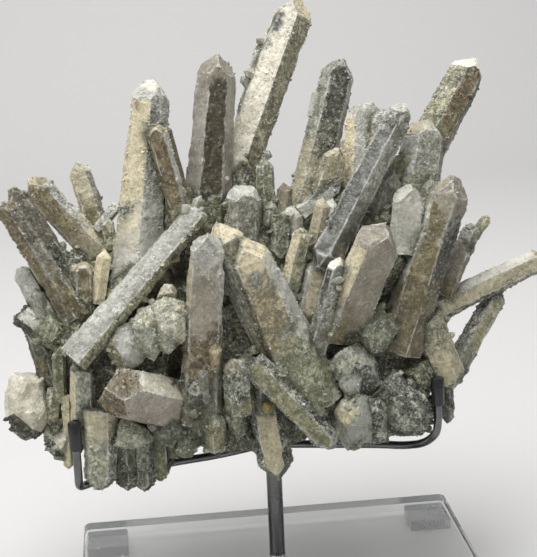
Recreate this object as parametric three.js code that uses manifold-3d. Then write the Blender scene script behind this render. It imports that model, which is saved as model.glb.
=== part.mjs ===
// A large cluster of smoky quartz crystals, held up by a bent-rod cradle on a steel post
// that stands in a clear acrylic slab with four feet.
//
// Millimetres, +Z up. X runs along the slab's long edge and Y away from the side that the
// cluster is shown from. Everything is placed about the post's axis, with the ground at Z 0.
// The group is then moved so that its origin is the bottom centre of its bounding box.

import * as THREE from 'three';
import { ConvexGeometry } from 'three/addons/geometries/ConvexGeometry.js';
import { mergeVertices } from 'three/addons/utils/BufferGeometryUtils.js';
import Module from 'manifold-3d';

const wasm = await Module();
wasm.setup();

// ---------------------------------------------------------------- driving dimensions

const INCH = 25.4;
const GAP = 0.3;                       // left between two pieces that touch
const CUT_PAST = 5;                    // how far a cutting shape runs past the face that it opens

const slab = { length: 320, depth: 180, thickness: 20, corner: 6, edge: 1 };
const foot = { side: 35, height: 10, inset: 2, corner: 2 };
const post = { diameter: INCH / 2, seat: 12, top: 118, edge: 0.8 };
const screw = { head: 16, headHeight: 4, recess: 5, shank: 6, edge: 0.6 };
const hub = { diameter: 24, height: 16, edge: 2 };
const rod = { diameter: INCH / 4, sides: 8, steps: 16 };
const sleeve = { diameter: 10, sides: 8, length: 22, endWall: 1.5 };
const clearance = 3 * GAP;             // between the stone and the steel that holds it

const slabBottom = foot.height + GAP;
const slabTop = slabBottom + slab.thickness;
const seatBottom = slabTop - post.seat;
const hubBottom = post.top + GAP;
const armHeight = hubBottom + hub.height / 2;

// ---------------------------------------------------------------- quartz habit

// The rhombohedral end faces of quartz stand at this angle to the prism's axis.
const END_FACE_ANGLE = THREE.MathUtils.degToRad(38.2);
const SIDES = 6;
const SIDE_SPREAD = 0.08;              // how much the side faces' distances vary from face to face
const END_SPREAD = 0.03;               // how much the main end faces' distances vary

// Turning by this much from one face of a lump to the next spreads them evenly all round.
const GOLDEN_ANGLE = Math.PI * (3 - Math.sqrt(5));

// A small repeatable random source, so that every build gives the same stone.
function randomSource(seed) {
  let state = seed;
  return () => {
    state = (state * 1664525 + 1013904223) % 4294967296;
    return state / 4294967296;
  };
}

// Each crystal: the middle of its foot, its tip, and its width across the two outermost edges.
// turn: degrees that the front face is turned to the side. flat: thickness over a regular prism's.
// uneven: how far alternate end faces are set back, as a share of the width.
// blunt: a broken or rounded-off end, as a share of the width. ended: a point at the foot as well.
// taper: degrees that each side leans in towards the tip.
const frontCrystals = [
  // the fan of long crystals at the upper left
  { foot: [-147, -35, 254], tip: [-196, -30, 349], width: 21, turn: -35, flat: 0.8, blunt: 0.25 },
  { foot: [-150, -15, 278], tip: [-190, -10, 354], width: 19, turn: 10, flat: 0.7, blunt: 0.2 },
  { foot: [-117, 0, 279], tip: [-180, 15, 356], width: 26, turn: -14, flat: 0.7, blunt: 0.15 },
  { foot: [-124, 15, 296], tip: [-142, 40, 364], width: 19, turn: -8, flat: 0.75, uneven: 0.25 },
  { foot: [-105, -20, 245], tip: [-77, -5, 432], width: 38, turn: 28, blunt: 0.12, taper: 2.2 },
  { foot: [-62, -25, 318], tip: [-80, -27, 399], width: 17, turn: -12, flat: 0.8, blunt: 0.2, taper: 0.3 },

  // the tall middle ones
  { foot: [-52, -15, 262], tip: [-26, 15, 448], width: 36, turn: 2, flat: 1.1, uneven: 0.22, taper: 1.8 },
  { foot: [-28, 14, 322], tip: [46, 60, 485], width: 32, turn: -26, uneven: 0.3, taper: 0.4 },
  { foot: [-20, 10, 312], tip: [-10, 25, 376], width: 15, turn: 10, blunt: 0.3 },
  { foot: [-11, 28, 368], tip: [13, 56, 447], width: 15, turn: 20, uneven: 0.4 },
  { foot: [31, 0, 310], tip: [72, 35, 434], width: 31, turn: 4, flat: 0.85, blunt: 0.25 },

  // the long one that lies across the left side
  { foot: [-150, -66, 231], tip: [-43, -30, 335], width: 22, turn: -22, flat: 0.85, blunt: 0.4 },

  // the front ones in the middle
  { foot: [-60, -60, 172], tip: [-46, -70, 327], width: 29, turn: -3, flat: 0.5, uneven: 0.2 },
  { foot: [12, -52, 202], tip: [-41, -52, 327], width: 33, turn: 14, uneven: 0.1, taper: 0.6 },
  { foot: [29, -60, 181], tip: [-25, -62, 318], width: 40, turn: -8, flat: 0.8, blunt: 0.06, taper: 3.2 },
  { foot: [-19, -25, 300], tip: [-13, -20, 353], width: 29, turn: 8, blunt: 0.4 },
  { foot: [1, -20, 286], tip: [3, -5, 364], width: 16, turn: 12 },
  { foot: [-3, -25, 284], tip: [6, -15, 334], width: 16, turn: 25 },
  { foot: [20, -25, 304], tip: [19, -25, 332], width: 19, turn: 20, blunt: 0.35 },
  { foot: [12, -28, 320], tip: [8, -36, 284], width: 16, turn: 0, flat: 0.7 },

  // short ones between the tall right crystal and the long slanting one
  { foot: [41, -18, 322], tip: [61, -10, 370], width: 21, turn: 12, flat: 0.5, blunt: 0.15 },
  { foot: [26, -25, 320], tip: [62, -15, 341], width: 13, turn: -10, flat: 0.6 },
  { foot: [9, -50, 257], tip: [27, -48, 318], width: 17, turn: 12, blunt: 0.3 },
  { foot: [22, -50, 228], tip: [39, -50, 295], width: 23, turn: -10, flat: 0.8 },

  // the upper right
  { foot: [76, -8, 318], tip: [88, 22, 405], width: 35, turn: 8, flat: 0.65, blunt: 0.3 },
  { foot: [82, -10, 318], tip: [100, 14, 397], width: 24, turn: -8, blunt: 0.35 },
  { foot: [34, -60, 282], tip: [113, -15, 401], width: 24, turn: 20, blunt: 0.15, ended: true },
  { foot: [114, -20, 316], tip: [132, 5, 391], width: 36, turn: 6, blunt: 0.3 },
  { foot: [80, -30, 292], tip: [100, -20, 352], width: 20, turn: 15, flat: 0.7 },
  { foot: [98, -20, 296], tip: [106, -12, 362], width: 14, turn: -10, blunt: 0.3 },
  { foot: [126, 3, 352], tip: [181, 40, 428], width: 32, turn: 4, flat: 1.1, uneven: 0.2, blunt: 0.1 },
  { foot: [101, -42, 288], tip: [110, -36, 346], width: 26, turn: 6, flat: 0.6, uneven: 0.2, taper: 0.2 },
  { foot: [116, -30, 294], tip: [127, -25, 345], width: 17, turn: 20 },
  { foot: [95, -44, 212], tip: [145, -35, 350], width: 34, turn: -20, blunt: 0.2 },
  { foot: [69, -36, 258], tip: [90, -30, 322], width: 20, turn: 15, flat: 0.7 },

  // the right edge
  { foot: [160, -8, 286], tip: [180, 0, 304], width: 10, turn: 10 },
  { foot: [151, -15, 274], tip: [166, -10, 304], width: 16, turn: 25, blunt: 0.3 },
  { foot: [134, -25, 249], tip: [155, -20, 294], width: 20, turn: -10, flat: 0.8, blunt: 0.3 },
  { foot: [122, -28, 236], tip: [229, 5, 267], width: 22, turn: -8, blunt: 0.15, taper: 0.4 },
  { foot: [140, -30, 184], tip: [188, -5, 247], width: 20, turn: 5, blunt: 0.2 },

  // the big smooth one at the right front, with its pale neighbours
  { foot: [47, -52, 230], tip: [90, -80, 339], width: 39, turn: 22, flat: 0.65, uneven: 0.5 },
  { foot: [29, -62, 223], tip: [50, -70, 298], width: 17, turn: 12, flat: 0.8 },
  { foot: [75, -40, 248], tip: [84, -50, 206], width: 22, turn: 0, flat: 0.7, uneven: 0.2 },

  // the lower right, where short crystals crowd together
  { foot: [68, -46, 176], tip: [50, -74, 233], width: 36, turn: 12, flat: 0.75, uneven: 0.2 },
  { foot: [58, -56, 184], tip: [51, -80, 207], width: 17, turn: 0 },
  { foot: [60, -50, 150], tip: [54, -83, 193], width: 31, turn: 5, flat: 0.85, blunt: 0.35 },
  { foot: [78, -48, 147], tip: [70, -77, 188], width: 18, turn: -8, blunt: 0.3 },
  { foot: [77, -50, 188], tip: [121, -53, 146], width: 38, turn: 15, flat: 0.8, blunt: 0.2 },
  { foot: [57, -60, 190], tip: [58, -56, 138], width: 20, turn: 12, flat: 0.9 },
  { foot: [73, -55, 186], tip: [75, -46, 136], width: 13, turn: 20 },
  { foot: [42, -62, 192], tip: [45, -58, 156], width: 13, turn: -10 },
  { foot: [117, -40, 236], tip: [143, -36, 170], width: 27, turn: 14, blunt: 0.25 },
  { foot: [136, -25, 186], tip: [139, -21, 138], width: 13, turn: 10 },
  { foot: [88, -30, 178], tip: [86, -32, 133], width: 16, turn: 10, blunt: 0.2 },
  { foot: [101, -30, 178], tip: [103, -28, 135], width: 18, turn: -14, blunt: 0.2 },
  { foot: [110, -28, 174], tip: [113, -26, 138], width: 16, turn: 5, blunt: 0.2 },

  // the lower middle
  { foot: [-19, -71, 220], tip: [42, -79, 148], width: 20, turn: 10, flat: 0.8, blunt: 0.15 },
  { foot: [-12, -48, 202], tip: [-1, -57, 114], width: 28, turn: 6, flat: 0.9, uneven: 0.15 },
  { foot: [-29, -62, 180], tip: [-30, -75, 231], width: 23, turn: 6, flat: 0.8, blunt: 0.3 },
  { foot: [-12, -58, 178], tip: [-13, -66, 221], width: 16, turn: 20, blunt: 0.2 },
  { foot: [-60, -55, 165], tip: [-61, -72, 211], width: 16, turn: 25, blunt: 0.2 },
  { foot: [-48, -50, 150], tip: [-50, -71, 184], width: 18, turn: 12, blunt: 0.2 },
  { foot: [-30, -52, 160], tip: [-35, -69, 190], width: 14, turn: 0, blunt: 0.2 },
  { foot: [-70, -50, 170], tip: [-72, -66, 141], width: 17, turn: 12, blunt: 0.3 },
  { foot: [-50, -40, 170], tip: [-46, -50, 137], width: 18, turn: -8, blunt: 0.3 },

  // the stout one that points to the lower left, and the ones that hang below it
  { foot: [-76, -45, 182], tip: [-137, -100, 222], width: 42, turn: 0, flat: 0.85, uneven: 0.3 },
  { foot: [-134, -60, 190], tip: [-138, -60, 117], width: 26, turn: 6, flat: 0.9, blunt: 0.3 },
  { foot: [-119, -52, 172], tip: [-117, -50, 113], width: 21, turn: 20, blunt: 0.25 },
  { foot: [-103, -50, 160], tip: [-105, -50, 112], width: 17, turn: 8, blunt: 0.2 },
  { foot: [-94, -44, 160], tip: [-91, -42, 116], width: 20, turn: -12, blunt: 0.2 },
  { foot: [-121, -62, 170], tip: [-92, -62, 160], width: 20, turn: 14, flat: 0.8 },
  { foot: [-79, -52, 256], tip: [-77, -56, 284], width: 15, turn: 10, blunt: 0.3 },

  // the left edge
  { foot: [-166, -30, 252], tip: [-188, -20, 297], width: 18, turn: 10, blunt: 0.3 },
  { foot: [-167, -35, 243], tip: [-196, -25, 264], width: 19, turn: 14, blunt: 0.5 },
  { foot: [-180, -28, 254], tip: [-169, -34, 188], width: 16, turn: 5, flat: 0.8, taper: 2 },
  { foot: [-148, -55, 176], tip: [-144, -63, 233], width: 19, turn: 8, flat: 0.8, blunt: 0.5 },
  { foot: [-167, -46, 180], tip: [-167, -45, 143], width: 13, turn: 12, blunt: 0.2 },
  { foot: [-144, -34, 230], tip: [-139, -22, 301], width: 22, turn: 8, blunt: 0.35 },
];

// The far side, in the same habit: crystals that lean away and outwards from the same root.
const backCrystals = [
  { foot: [-92, 18, 238], tip: [-148, 66, 322], width: 27, turn: 12 },
  { foot: [-62, 22, 250], tip: [-92, 74, 372], width: 30, turn: 26, uneven: 0.2 },
  { foot: [-24, 25, 250], tip: [-38, 86, 352], width: 26, turn: 4 },
  { foot: [18, 25, 250], tip: [30, 88, 322], width: 30, turn: 18, uneven: 0.15 },
  { foot: [58, 22, 250], tip: [82, 84, 362], width: 28, turn: 8 },
  { foot: [94, 18, 245], tip: [140, 72, 330], width: 27, turn: 22, uneven: 0.25 },
  { foot: [-132, 8, 224], tip: [-184, 46, 276], width: 23, turn: 6, blunt: 0.15 },
  { foot: [112, 12, 226], tip: [164, 56, 282], width: 24, turn: 14 },
  { foot: [-45, 28, 228], tip: [-66, 104, 292], width: 25, turn: 10, uneven: 0.2 },
  { foot: [8, 28, 224], tip: [2, 114, 274], width: 27, turn: 0 },
  { foot: [58, 28, 222], tip: [92, 102, 268], width: 24, turn: 16 },
  { foot: [-98, 22, 208], tip: [-138, 86, 222], width: 23, turn: 8, blunt: 0.2 },
  { foot: [90, 20, 206], tip: [134, 82, 212], width: 22, turn: 20 },
  { foot: [-64, 24, 198], tip: [-80, 92, 182], width: 20, turn: 12 },
  { foot: [-8, 24, 194], tip: [6, 98, 190], width: 24, turn: 4, uneven: 0.2 },
  { foot: [46, 24, 194], tip: [58, 88, 176], width: 19, turn: 18, blunt: 0.2 },
  { foot: [34, 30, 236], tip: [46, 98, 236], width: 16, turn: 14 },

  // a short one that closes the gap beside the left fan
  { foot: [-135, -8, 266], tip: [-152, -6, 303], width: 20, turn: 10, blunt: 0.3 },
];

// The root mass that the crystals have grown out of, and the rounded druse-covered knobs on it.
const rootLumps = [
  { middle: [-106, -8, 206], radii: [58, 48, 54] },
  { middle: [-22, -6, 206], radii: [66, 52, 56] },
  { middle: [64, -6, 208], radii: [64, 52, 56] },
  { middle: [-92, 0, 262], radii: [46, 42, 42] },
  { middle: [-14, 2, 272], radii: [54, 46, 46] },
  { middle: [62, 0, 272], radii: [60, 46, 46] },
  { middle: [-152, -20, 232], radii: [20, 26, 40] },
  { middle: [-62, -8, 304], radii: [22, 26, 40] },
  { middle: [-14, 12, 312], radii: [22, 24, 38] },
  { middle: [-98, -14, 162], radii: [52, 38, 32] },
  { middle: [-20, -14, 162], radii: [56, 40, 32] },
  { middle: [68, -16, 161], radii: [58, 36, 32] },
  { middle: [-40, -34, 186], radii: [32, 22, 28] },
];
const knobs = [
  { middle: [-188, -38, 189], radii: [18, 20, 27], faces: 20 },
  { middle: [-80, -61, 251], radii: [17, 16, 22], faces: 20 },
  { middle: [-95, -60, 247], radii: [12, 16, 18] },
  { middle: [-109, -59, 237], radii: [17, 14, 17], faces: 16 },
  { middle: [-162, -36, 162], radii: [17, 20, 17] },
  { middle: [111, -42, 188], radii: [14, 13, 15] },
  { middle: [108, -34, 158], radii: [18, 20, 19] },
  { middle: [88, -42, 168], radii: [15, 16, 20] },
  { middle: [-166, -34, 244], radii: [12, 12, 13] },
  { middle: [-84, -54, 168], radii: [14, 14, 16] },
  { middle: [76, -54, 231], radii: [16, 14, 17] },
];

// ---------------------------------------------------------------- solids and meshes

function closed(geometry) {
  geometry.deleteAttribute('normal');
  geometry.deleteAttribute('uv');
  return mergeVertices(geometry, 1e-4);
}

function toManifold(geometry) {
  const merged = closed(geometry);
  return new wasm.Manifold(new wasm.Mesh({
    numProp: 3,
    vertProperties: new Float32Array(merged.attributes.position.array),
    triVerts: new Uint32Array(merged.index.array),
  }));
}

function toGeometry(solid) {
  const mesh = solid.getMesh();
  const geometry = new THREE.BufferGeometry();
  geometry.setAttribute('position', new THREE.BufferAttribute(mesh.vertProperties, 3));
  geometry.setIndex(new THREE.BufferAttribute(mesh.triVerts, 1));
  return geometry;
}

function join(solids) {
  return solids.reduce((whole, next) => whole.add(next));
}

// The corners of the convex body that a set of planes encloses.
function cornersOf(planes) {
  const corners = [];
  const corner = new THREE.Vector3();
  const matrix = new THREE.Matrix3();
  for (let a = 0; a < planes.length; a++) {
    for (let b = a + 1; b < planes.length; b++) {
      for (let c = b + 1; c < planes.length; c++) {
        const [p, q, r] = [planes[a], planes[b], planes[c]];
        matrix.set(...p.normal, ...q.normal, ...r.normal);
        if (Math.abs(matrix.determinant()) < 1e-4) continue;
        corner.set(-p.constant, -q.constant, -r.constant).applyMatrix3(matrix.invert());
        const inside = planes.every((plane) => plane.distanceToPoint(corner) < 1e-6);
        const known = corners.some((other) => other.distanceTo(corner) < 0.02);
        if (inside && !known) corners.push(corner.clone());
      }
    }
  }
  return corners;
}

// A plane with its normal pointing out of the body, a distance from the crystal's foot.
function facePlane(normal, distance) {
  return new THREE.Plane(normal.clone().normalize(), -distance);
}

// One crystal, in its own frame: its axis on +Z from its foot, and its front face towards -Y.
function crystalPlanes(crystal, length, random) {
  const { width, turn = 0, flat = 1, uneven = 0.12, blunt = 0, taper = 1.2, ended = false } = crystal;
  const lean = THREE.MathUtils.degToRad(taper);
  const regular = width * Math.cos(Math.PI / SIDES) / 2;
  const planes = [];
  for (let side = 0; side < SIDES; side++) {
    const angle = THREE.MathUtils.degToRad(turn) + side * 2 * Math.PI / SIDES;
    const outward = new THREE.Vector3(Math.sin(angle), -Math.cos(angle), 0);
    const frontOrBack = side % (SIDES / 2) === 0;
    const reach = regular * (frontOrBack ? flat : 1) * (1 + SIDE_SPREAD * (random() - 0.5));

    const sideFace = outward.clone().multiplyScalar(Math.cos(lean));
    sideFace.z = Math.sin(lean);
    planes.push(facePlane(sideFace, reach + length * Math.sin(lean) / 2));

    const setBack = (side % 2 ? uneven : END_SPREAD * random()) * width;
    const endFace = outward.clone().multiplyScalar(Math.cos(END_FACE_ANGLE));
    endFace.z = Math.sin(END_FACE_ANGLE);
    planes.push(facePlane(endFace, (length - setBack) * Math.sin(END_FACE_ANGLE)));
    if (ended) {
      endFace.z = -endFace.z;
      planes.push(facePlane(endFace, setBack * Math.sin(END_FACE_ANGLE)));
    }
  }
  planes.push(facePlane(new THREE.Vector3(0, 0, -1), ended ? -blunt * width : 0));
  if (blunt) {
    const brokenFace = new THREE.Vector3(random() - 0.5, random() - 0.5, 1.4).normalize();
    planes.push(facePlane(brokenFace, (length - blunt * width) * brokenFace.z));
  }
  return planes;
}

function makeCrystal(crystal, index) {
  const footPoint = new THREE.Vector3(...crystal.foot);
  const axis = new THREE.Vector3(...crystal.tip).sub(footPoint);
  const length = axis.length();
  axis.normalize();
  const shownSide = Math.abs(axis.y) > 0.9 ? new THREE.Vector3(0, 0, 1) : new THREE.Vector3(0, -1, 0);
  const back = shownSide.addScaledVector(axis, -shownSide.dot(axis)).normalize().negate();
  const right = back.clone().cross(axis);
  const placed = new THREE.Matrix4().makeBasis(right, back, axis).setPosition(footPoint);
  const geometry = new ConvexGeometry(cornersOf(crystalPlanes(crystal, length, randomSource(index + 1))));
  return toManifold(geometry.applyMatrix4(placed));
}

// A lump with flat faces, cut about as far from its middle as its radii say.
function makeLump({ middle, radii, faces = 12 }, index) {
  const random = randomSource(1000 + index);
  const planes = [];
  for (let face = 0; face < faces; face++) {
    const height = 1 - 2 * (face + 0.5) / faces;
    const angle = face * GOLDEN_ANGLE + index;
    const spread = Math.sqrt(1 - height * height);
    const outward = new THREE.Vector3(spread * Math.cos(angle), spread * Math.sin(angle), height);
    planes.push(facePlane(outward, 0.8 + 0.2 * random()));
  }
  const geometry = new ConvexGeometry(cornersOf(planes));
  return toManifold(geometry.scale(...radii).translate(...middle));
}

// Keeps only a solid's outer skin, so that no hollow is left sealed between the crystals.
function outerSkin(geometry) {
  const index = geometry.index.array;
  const parent = Array.from({ length: geometry.attributes.position.count }, (_, i) => i);
  const rootOf = (vertex) => {
    let root = vertex;
    while (parent[root] !== root) root = parent[root];
    parent[vertex] = root;
    return root;
  };
  for (let t = 0; t < index.length; t += 3) {
    parent[rootOf(index[t + 1])] = rootOf(index[t]);
    parent[rootOf(index[t + 2])] = rootOf(index[t]);
  }
  const skins = new Map();
  for (let t = 0; t < index.length; t += 3) {
    const root = rootOf(index[t]);
    if (!skins.has(root)) skins.set(root, []);
    skins.get(root).push(index[t], index[t + 1], index[t + 2]);
  }
  const largest = [...skins.values()].sort((a, b) => b.length - a.length)[0];
  const skin = new THREE.BufferGeometry();
  skin.setAttribute('position', geometry.attributes.position);
  skin.setIndex(largest);
  return mergeVertices(skin.toNonIndexed(), 1e-4);
}

// ---------------------------------------------------------------- the stand

function roundedSquare(length, depth, radius) {
  const shape = new THREE.Shape();
  const [x, y] = [length / 2, depth / 2];
  shape.absarc(x - radius, y - radius, radius, 0, Math.PI / 2);
  shape.absarc(-x + radius, y - radius, radius, Math.PI / 2, Math.PI);
  shape.absarc(-x + radius, -y + radius, radius, Math.PI, 1.5 * Math.PI);
  shape.absarc(x - radius, -y + radius, radius, 1.5 * Math.PI, 2 * Math.PI);
  return shape;
}

// A plate with rounded corners, from Z 0 to its thickness. edge: a chamfer at its top and bottom.
function plate(shape, thickness, edge = 0) {
  const geometry = new THREE.ExtrudeGeometry(shape, {
    depth: thickness - 2 * edge,
    bevelEnabled: edge > 0,
    bevelThickness: edge,
    bevelSize: edge,
    bevelOffset: -edge,
    bevelSegments: 1,
    curveSegments: 2,
  });
  return geometry.translate(0, 0, edge);
}

// A round piece about Z, from its profile's radii and heights.
function turned(profile, sides) {
  const points = profile.map(([radius, z]) => new THREE.Vector2(radius, z));
  return new THREE.LatheGeometry(points, sides).rotateX(Math.PI / 2);
}

function cylinder(radius, bottom, top, sides = 16) {
  return turned([[0, bottom], [radius, bottom], [radius, top], [0, top]], sides);
}

// The collar that the rods come out of, with chamfered edges.
function hubSolid() {
  const [radius, bottom, top] = [hub.diameter / 2, hubBottom, hubBottom + hub.height];
  return turned([[0, bottom], [radius - hub.edge, bottom], [radius, bottom + hub.edge],
    [radius, top - hub.edge], [radius - hub.edge, top], [0, top]], 16);
}

// The slab has a blind seat for the post in its top, and a recess for the screw's head below.
function slabSolid() {
  const outline = roundedSquare(slab.length, slab.depth, slab.corner);
  const body = toManifold(plate(outline, slab.thickness, slab.edge).translate(0, 0, slabBottom));
  const seat = cylinder(post.diameter / 2 + GAP, seatBottom - GAP, slabTop + CUT_PAST);
  const recess = cylinder(screw.head / 2 + GAP, slabBottom - CUT_PAST, slabBottom + screw.recess);
  const shankHole = cylinder(screw.shank / 2 + GAP, slabBottom, seatBottom);
  return [seat, recess, shankHole].reduce((solid, cut) => solid.subtract(toManifold(cut)), body);
}

function postSolid() {
  const radius = post.diameter / 2;
  return turned([[0, seatBottom], [radius - post.edge, seatBottom], [radius, seatBottom + post.edge],
    [radius, post.top], [0, post.top]], 20);
}

function screwSolid() {
  const bottom = slabBottom + screw.recess - GAP - screw.headHeight;
  const shoulder = bottom + screw.headHeight;
  const end = seatBottom - GAP;
  return turned([[0, bottom], [screw.head / 2 - screw.edge, bottom], [screw.head / 2, bottom + screw.edge],
    [screw.head / 2, shoulder], [screw.shank / 2, shoulder], [screw.shank / 2, end], [0, end]], 12);
}

// Where each rod runs: from the hub, under the stone and out, then straight up as a prong.
const armRoutes = {
  front_left: [[-14, -2, armHeight], [-44, -10, 125], [-85, -20, 125], [-118, -33, 125], [-139, -42, 125],
    [-149, -52, 126], [-153, -62, 130], [-153, -67, 139], [-153, -67, 146], [-153, -67, 181]],
  front_right: [[14, -3, armHeight], [45, -9, 126], [84, -18, 126], [102, -26, 127],
    [115, -41, 134], [122, -51, 144], [124, -54, 152], [124, -54, 190]],
  back_left: [[-12, 9, armHeight], [-28, 18, 126], [-48, 27, 126], [-66, 34, 126], [-78, 39, 128],
    [-85, 42, 135], [-87, 43, 144], [-87, 43, 178]],
  back_right: [[12, 9, armHeight], [26, 18, 126], [42, 27, 126], [54, 33, 126], [65, 38, 128],
    [72, 41, 135], [74, 42, 144], [74, 42, 178]],
};

function circle(radius, sides) {
  return new THREE.Shape(Array.from({ length: sides }, (_, i) => {
    const angle = i * 2 * Math.PI / sides;
    return new THREE.Vector2(radius * Math.cos(angle), radius * Math.sin(angle));
  }));
}

function tube(route, radius, sides, steps) {
  const points = route.map((point) => new THREE.Vector3(...point));
  const path = new THREE.CurvePath();
  path.add(new THREE.CatmullRomCurve3(points.slice(0, -1), false, 'centripetal'));
  path.add(new THREE.LineCurve3(points.at(-2), points.at(-1)));
  return new THREE.ExtrudeGeometry(circle(radius, sides), { steps, extrudePath: path });
}

function armSolid(route) {
  return tube(route, rod.diameter / 2, rod.sides, rod.steps);
}

// A plastic tube closed over the prong's end, open at the bottom, in the prong's own direction.
function sleeveSolid(route) {
  const end = new THREE.Vector3(...route.at(-1));
  const up = end.clone().sub(new THREE.Vector3(...route.at(-2))).normalize();
  const [outer, inner] = [sleeve.diameter / 2, rod.diameter / 2 + GAP];
  const top = GAP + sleeve.endWall;
  const bottom = top - sleeve.length;
  const geometry = turned([[inner, bottom], [outer, bottom], [outer, top], [0, top],
    [0, GAP], [inner, GAP], [inner, bottom]], sleeve.sides);
  return geometry.applyQuaternion(new THREE.Quaternion().setFromUnitVectors(new THREE.Vector3(0, 0, 1), up))
    .translate(...end);
}

// The room that a prong and its sleeve take, and the room that the hub takes.
function prongRoom(route) {
  const rodRoom = toManifold(tube(route, rod.diameter / 2 + clearance, 6, rod.steps));
  const sleeveRoom = cylinder(sleeve.diameter / 2 + clearance, -sleeve.length, sleeve.endWall + clearance, 8);
  return rodRoom.add(toManifold(sleeveRoom.translate(...route.at(-1))));
}

function hubRoom() {
  return toManifold(cylinder(hub.diameter / 2 + clearance, slabTop, hubBottom + hub.height + clearance, 12));
}

function clusterSolid() {
  const grown = join([
    ...frontCrystals.map(makeCrystal),
    ...backCrystals.map((crystal, i) => makeCrystal(crystal, 200 + i)),
    ...rootLumps.map(makeLump),
    ...knobs.map((lump, i) => makeLump(lump, 100 + i)),
  ]);
  const standRoom = join([hubRoom(), ...Object.values(armRoutes).map(prongRoom)]);
  return outerSkin(toGeometry(grown.subtract(standRoom)));
}

// ---------------------------------------------------------------- materials and the group

const acrylicGlaze = { color: 0xdfe8ea, roughness: 0.05, transparent: true, opacity: 0.4 };
const finish = {
  quartz: new THREE.MeshStandardMaterial({ color: 0x9a9180, roughness: 0.6, flatShading: true }),
  steel: new THREE.MeshStandardMaterial({ color: 0x2b2b29, roughness: 0.35, metalness: 0.9 }),
  sleeve: new THREE.MeshStandardMaterial({ color: 0x151515, roughness: 0.25 }),
  acrylic: new THREE.MeshStandardMaterial(acrylicGlaze),
};

const display = new THREE.Group();

function addPiece(name, geometry, material, place = [0, 0, 0]) {
  const mesh = new THREE.Mesh(geometry, material);
  mesh.name = name;
  mesh.position.set(...place);
  display.add(mesh);
}

addPiece('quartz_cluster', clusterSolid(), finish.quartz);
addPiece('acrylic_slab', toGeometry(slabSolid()), finish.acrylic);
addPiece('mount_post', postSolid(), finish.steel);
addPiece('post_screw', screwSolid(), finish.steel);
addPiece('cradle_hub', hubSolid(), finish.steel);

for (const [place, route] of Object.entries(armRoutes)) {
  addPiece(`arm_${place}`, armSolid(route), finish.steel);
  addPiece(`sleeve_${place}`, sleeveSolid(route), finish.sleeve);
}

const footShape = plate(roundedSquare(foot.side, foot.side, foot.corner), foot.height);
const footX = slab.length / 2 - foot.inset - foot.side / 2;
const footY = slab.depth / 2 - foot.inset - foot.side / 2;
for (const [endName, x] of [['left', -footX], ['right', footX]]) {
  for (const [sideName, y] of [['front', -footY], ['back', footY]]) {
    addPiece(`acrylic_foot_${sideName}_${endName}`, footShape, finish.acrylic, [x, y, 0]);
  }
}

const bounds = new THREE.Box3().setFromObject(display);
const centre = bounds.getCenter(new THREE.Vector3());
display.position.set(-centre.x, -centre.y, -bounds.min.z);

const part = new THREE.Group();
part.add(display);

export default part;
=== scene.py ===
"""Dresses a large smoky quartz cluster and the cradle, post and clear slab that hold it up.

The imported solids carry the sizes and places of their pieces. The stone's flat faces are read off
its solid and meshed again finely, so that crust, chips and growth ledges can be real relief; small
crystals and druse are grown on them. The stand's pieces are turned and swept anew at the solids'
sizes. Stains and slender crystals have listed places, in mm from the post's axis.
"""

import logging
import math
from collections import defaultdict
from collections.abc import Sequence
from dataclasses import dataclass
from enum import Enum

import bmesh
import bpy
import numpy as np
from mathutils import Matrix, Vector
from mathutils.geometry import delaunay_2d_cdt


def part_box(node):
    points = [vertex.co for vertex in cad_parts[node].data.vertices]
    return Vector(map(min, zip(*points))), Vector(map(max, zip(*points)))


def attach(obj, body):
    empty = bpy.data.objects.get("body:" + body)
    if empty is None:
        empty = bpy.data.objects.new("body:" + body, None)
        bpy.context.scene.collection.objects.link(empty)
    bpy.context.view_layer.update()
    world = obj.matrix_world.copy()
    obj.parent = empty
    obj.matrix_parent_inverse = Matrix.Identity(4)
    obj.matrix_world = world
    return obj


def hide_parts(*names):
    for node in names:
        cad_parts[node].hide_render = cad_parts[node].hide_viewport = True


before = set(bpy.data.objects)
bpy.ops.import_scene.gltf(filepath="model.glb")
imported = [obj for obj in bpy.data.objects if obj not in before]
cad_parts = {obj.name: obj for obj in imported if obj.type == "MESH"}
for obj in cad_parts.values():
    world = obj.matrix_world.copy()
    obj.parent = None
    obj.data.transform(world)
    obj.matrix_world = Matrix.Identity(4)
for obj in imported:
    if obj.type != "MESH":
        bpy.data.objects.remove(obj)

Socket = bpy.types.NodeSocket
Piece = bpy.types.Object
Material = bpy.types.Material

MM = 0.001
CORNERS = ("front_left", "front_right", "back_left", "back_right")
QUARTZ_IOR = 1.54
# The angle from which an edge is shaded sharp, and how many sides a turned piece has.
SHARP = math.radians(35)
TURN_SIDES = 64
# The radius of the screw's shank and the height of its head, in metres.
SCREW_SHANK = 0.003
SCREW_HEAD = 0.004
# How far apart the growth lines of two crystals are read.
GRAIN_STEP = 7.0
log = logging.getLogger("quartz")


# ---------------------------------------------------------------- finishes of the stone


@dataclass(frozen=True)
class Finish:
    """How one kind of crystal face looks.

    Attributes:
        colour: its sRGB colour, each part from 0 to 255.
        coat: the sRGB colour of the crust that lies on it in patches.
        cover: the share of the face under that crust.
        crust: 0 for bare crystal, 1 for a full coat of fine grains.
        frost: 0 for a clean glassy face, 1 for an etched matt one.
        streak: strength of the fine growth lines across a prism face.
        speck: share of the face under small dark grains.
    """

    colour: tuple[int, int, int]
    coat: tuple[int, int, int]
    cover: float = 0.5
    crust: float = 0.0
    frost: float = 0.5
    streak: float = 0.0
    speck: float = 0.0


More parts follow.
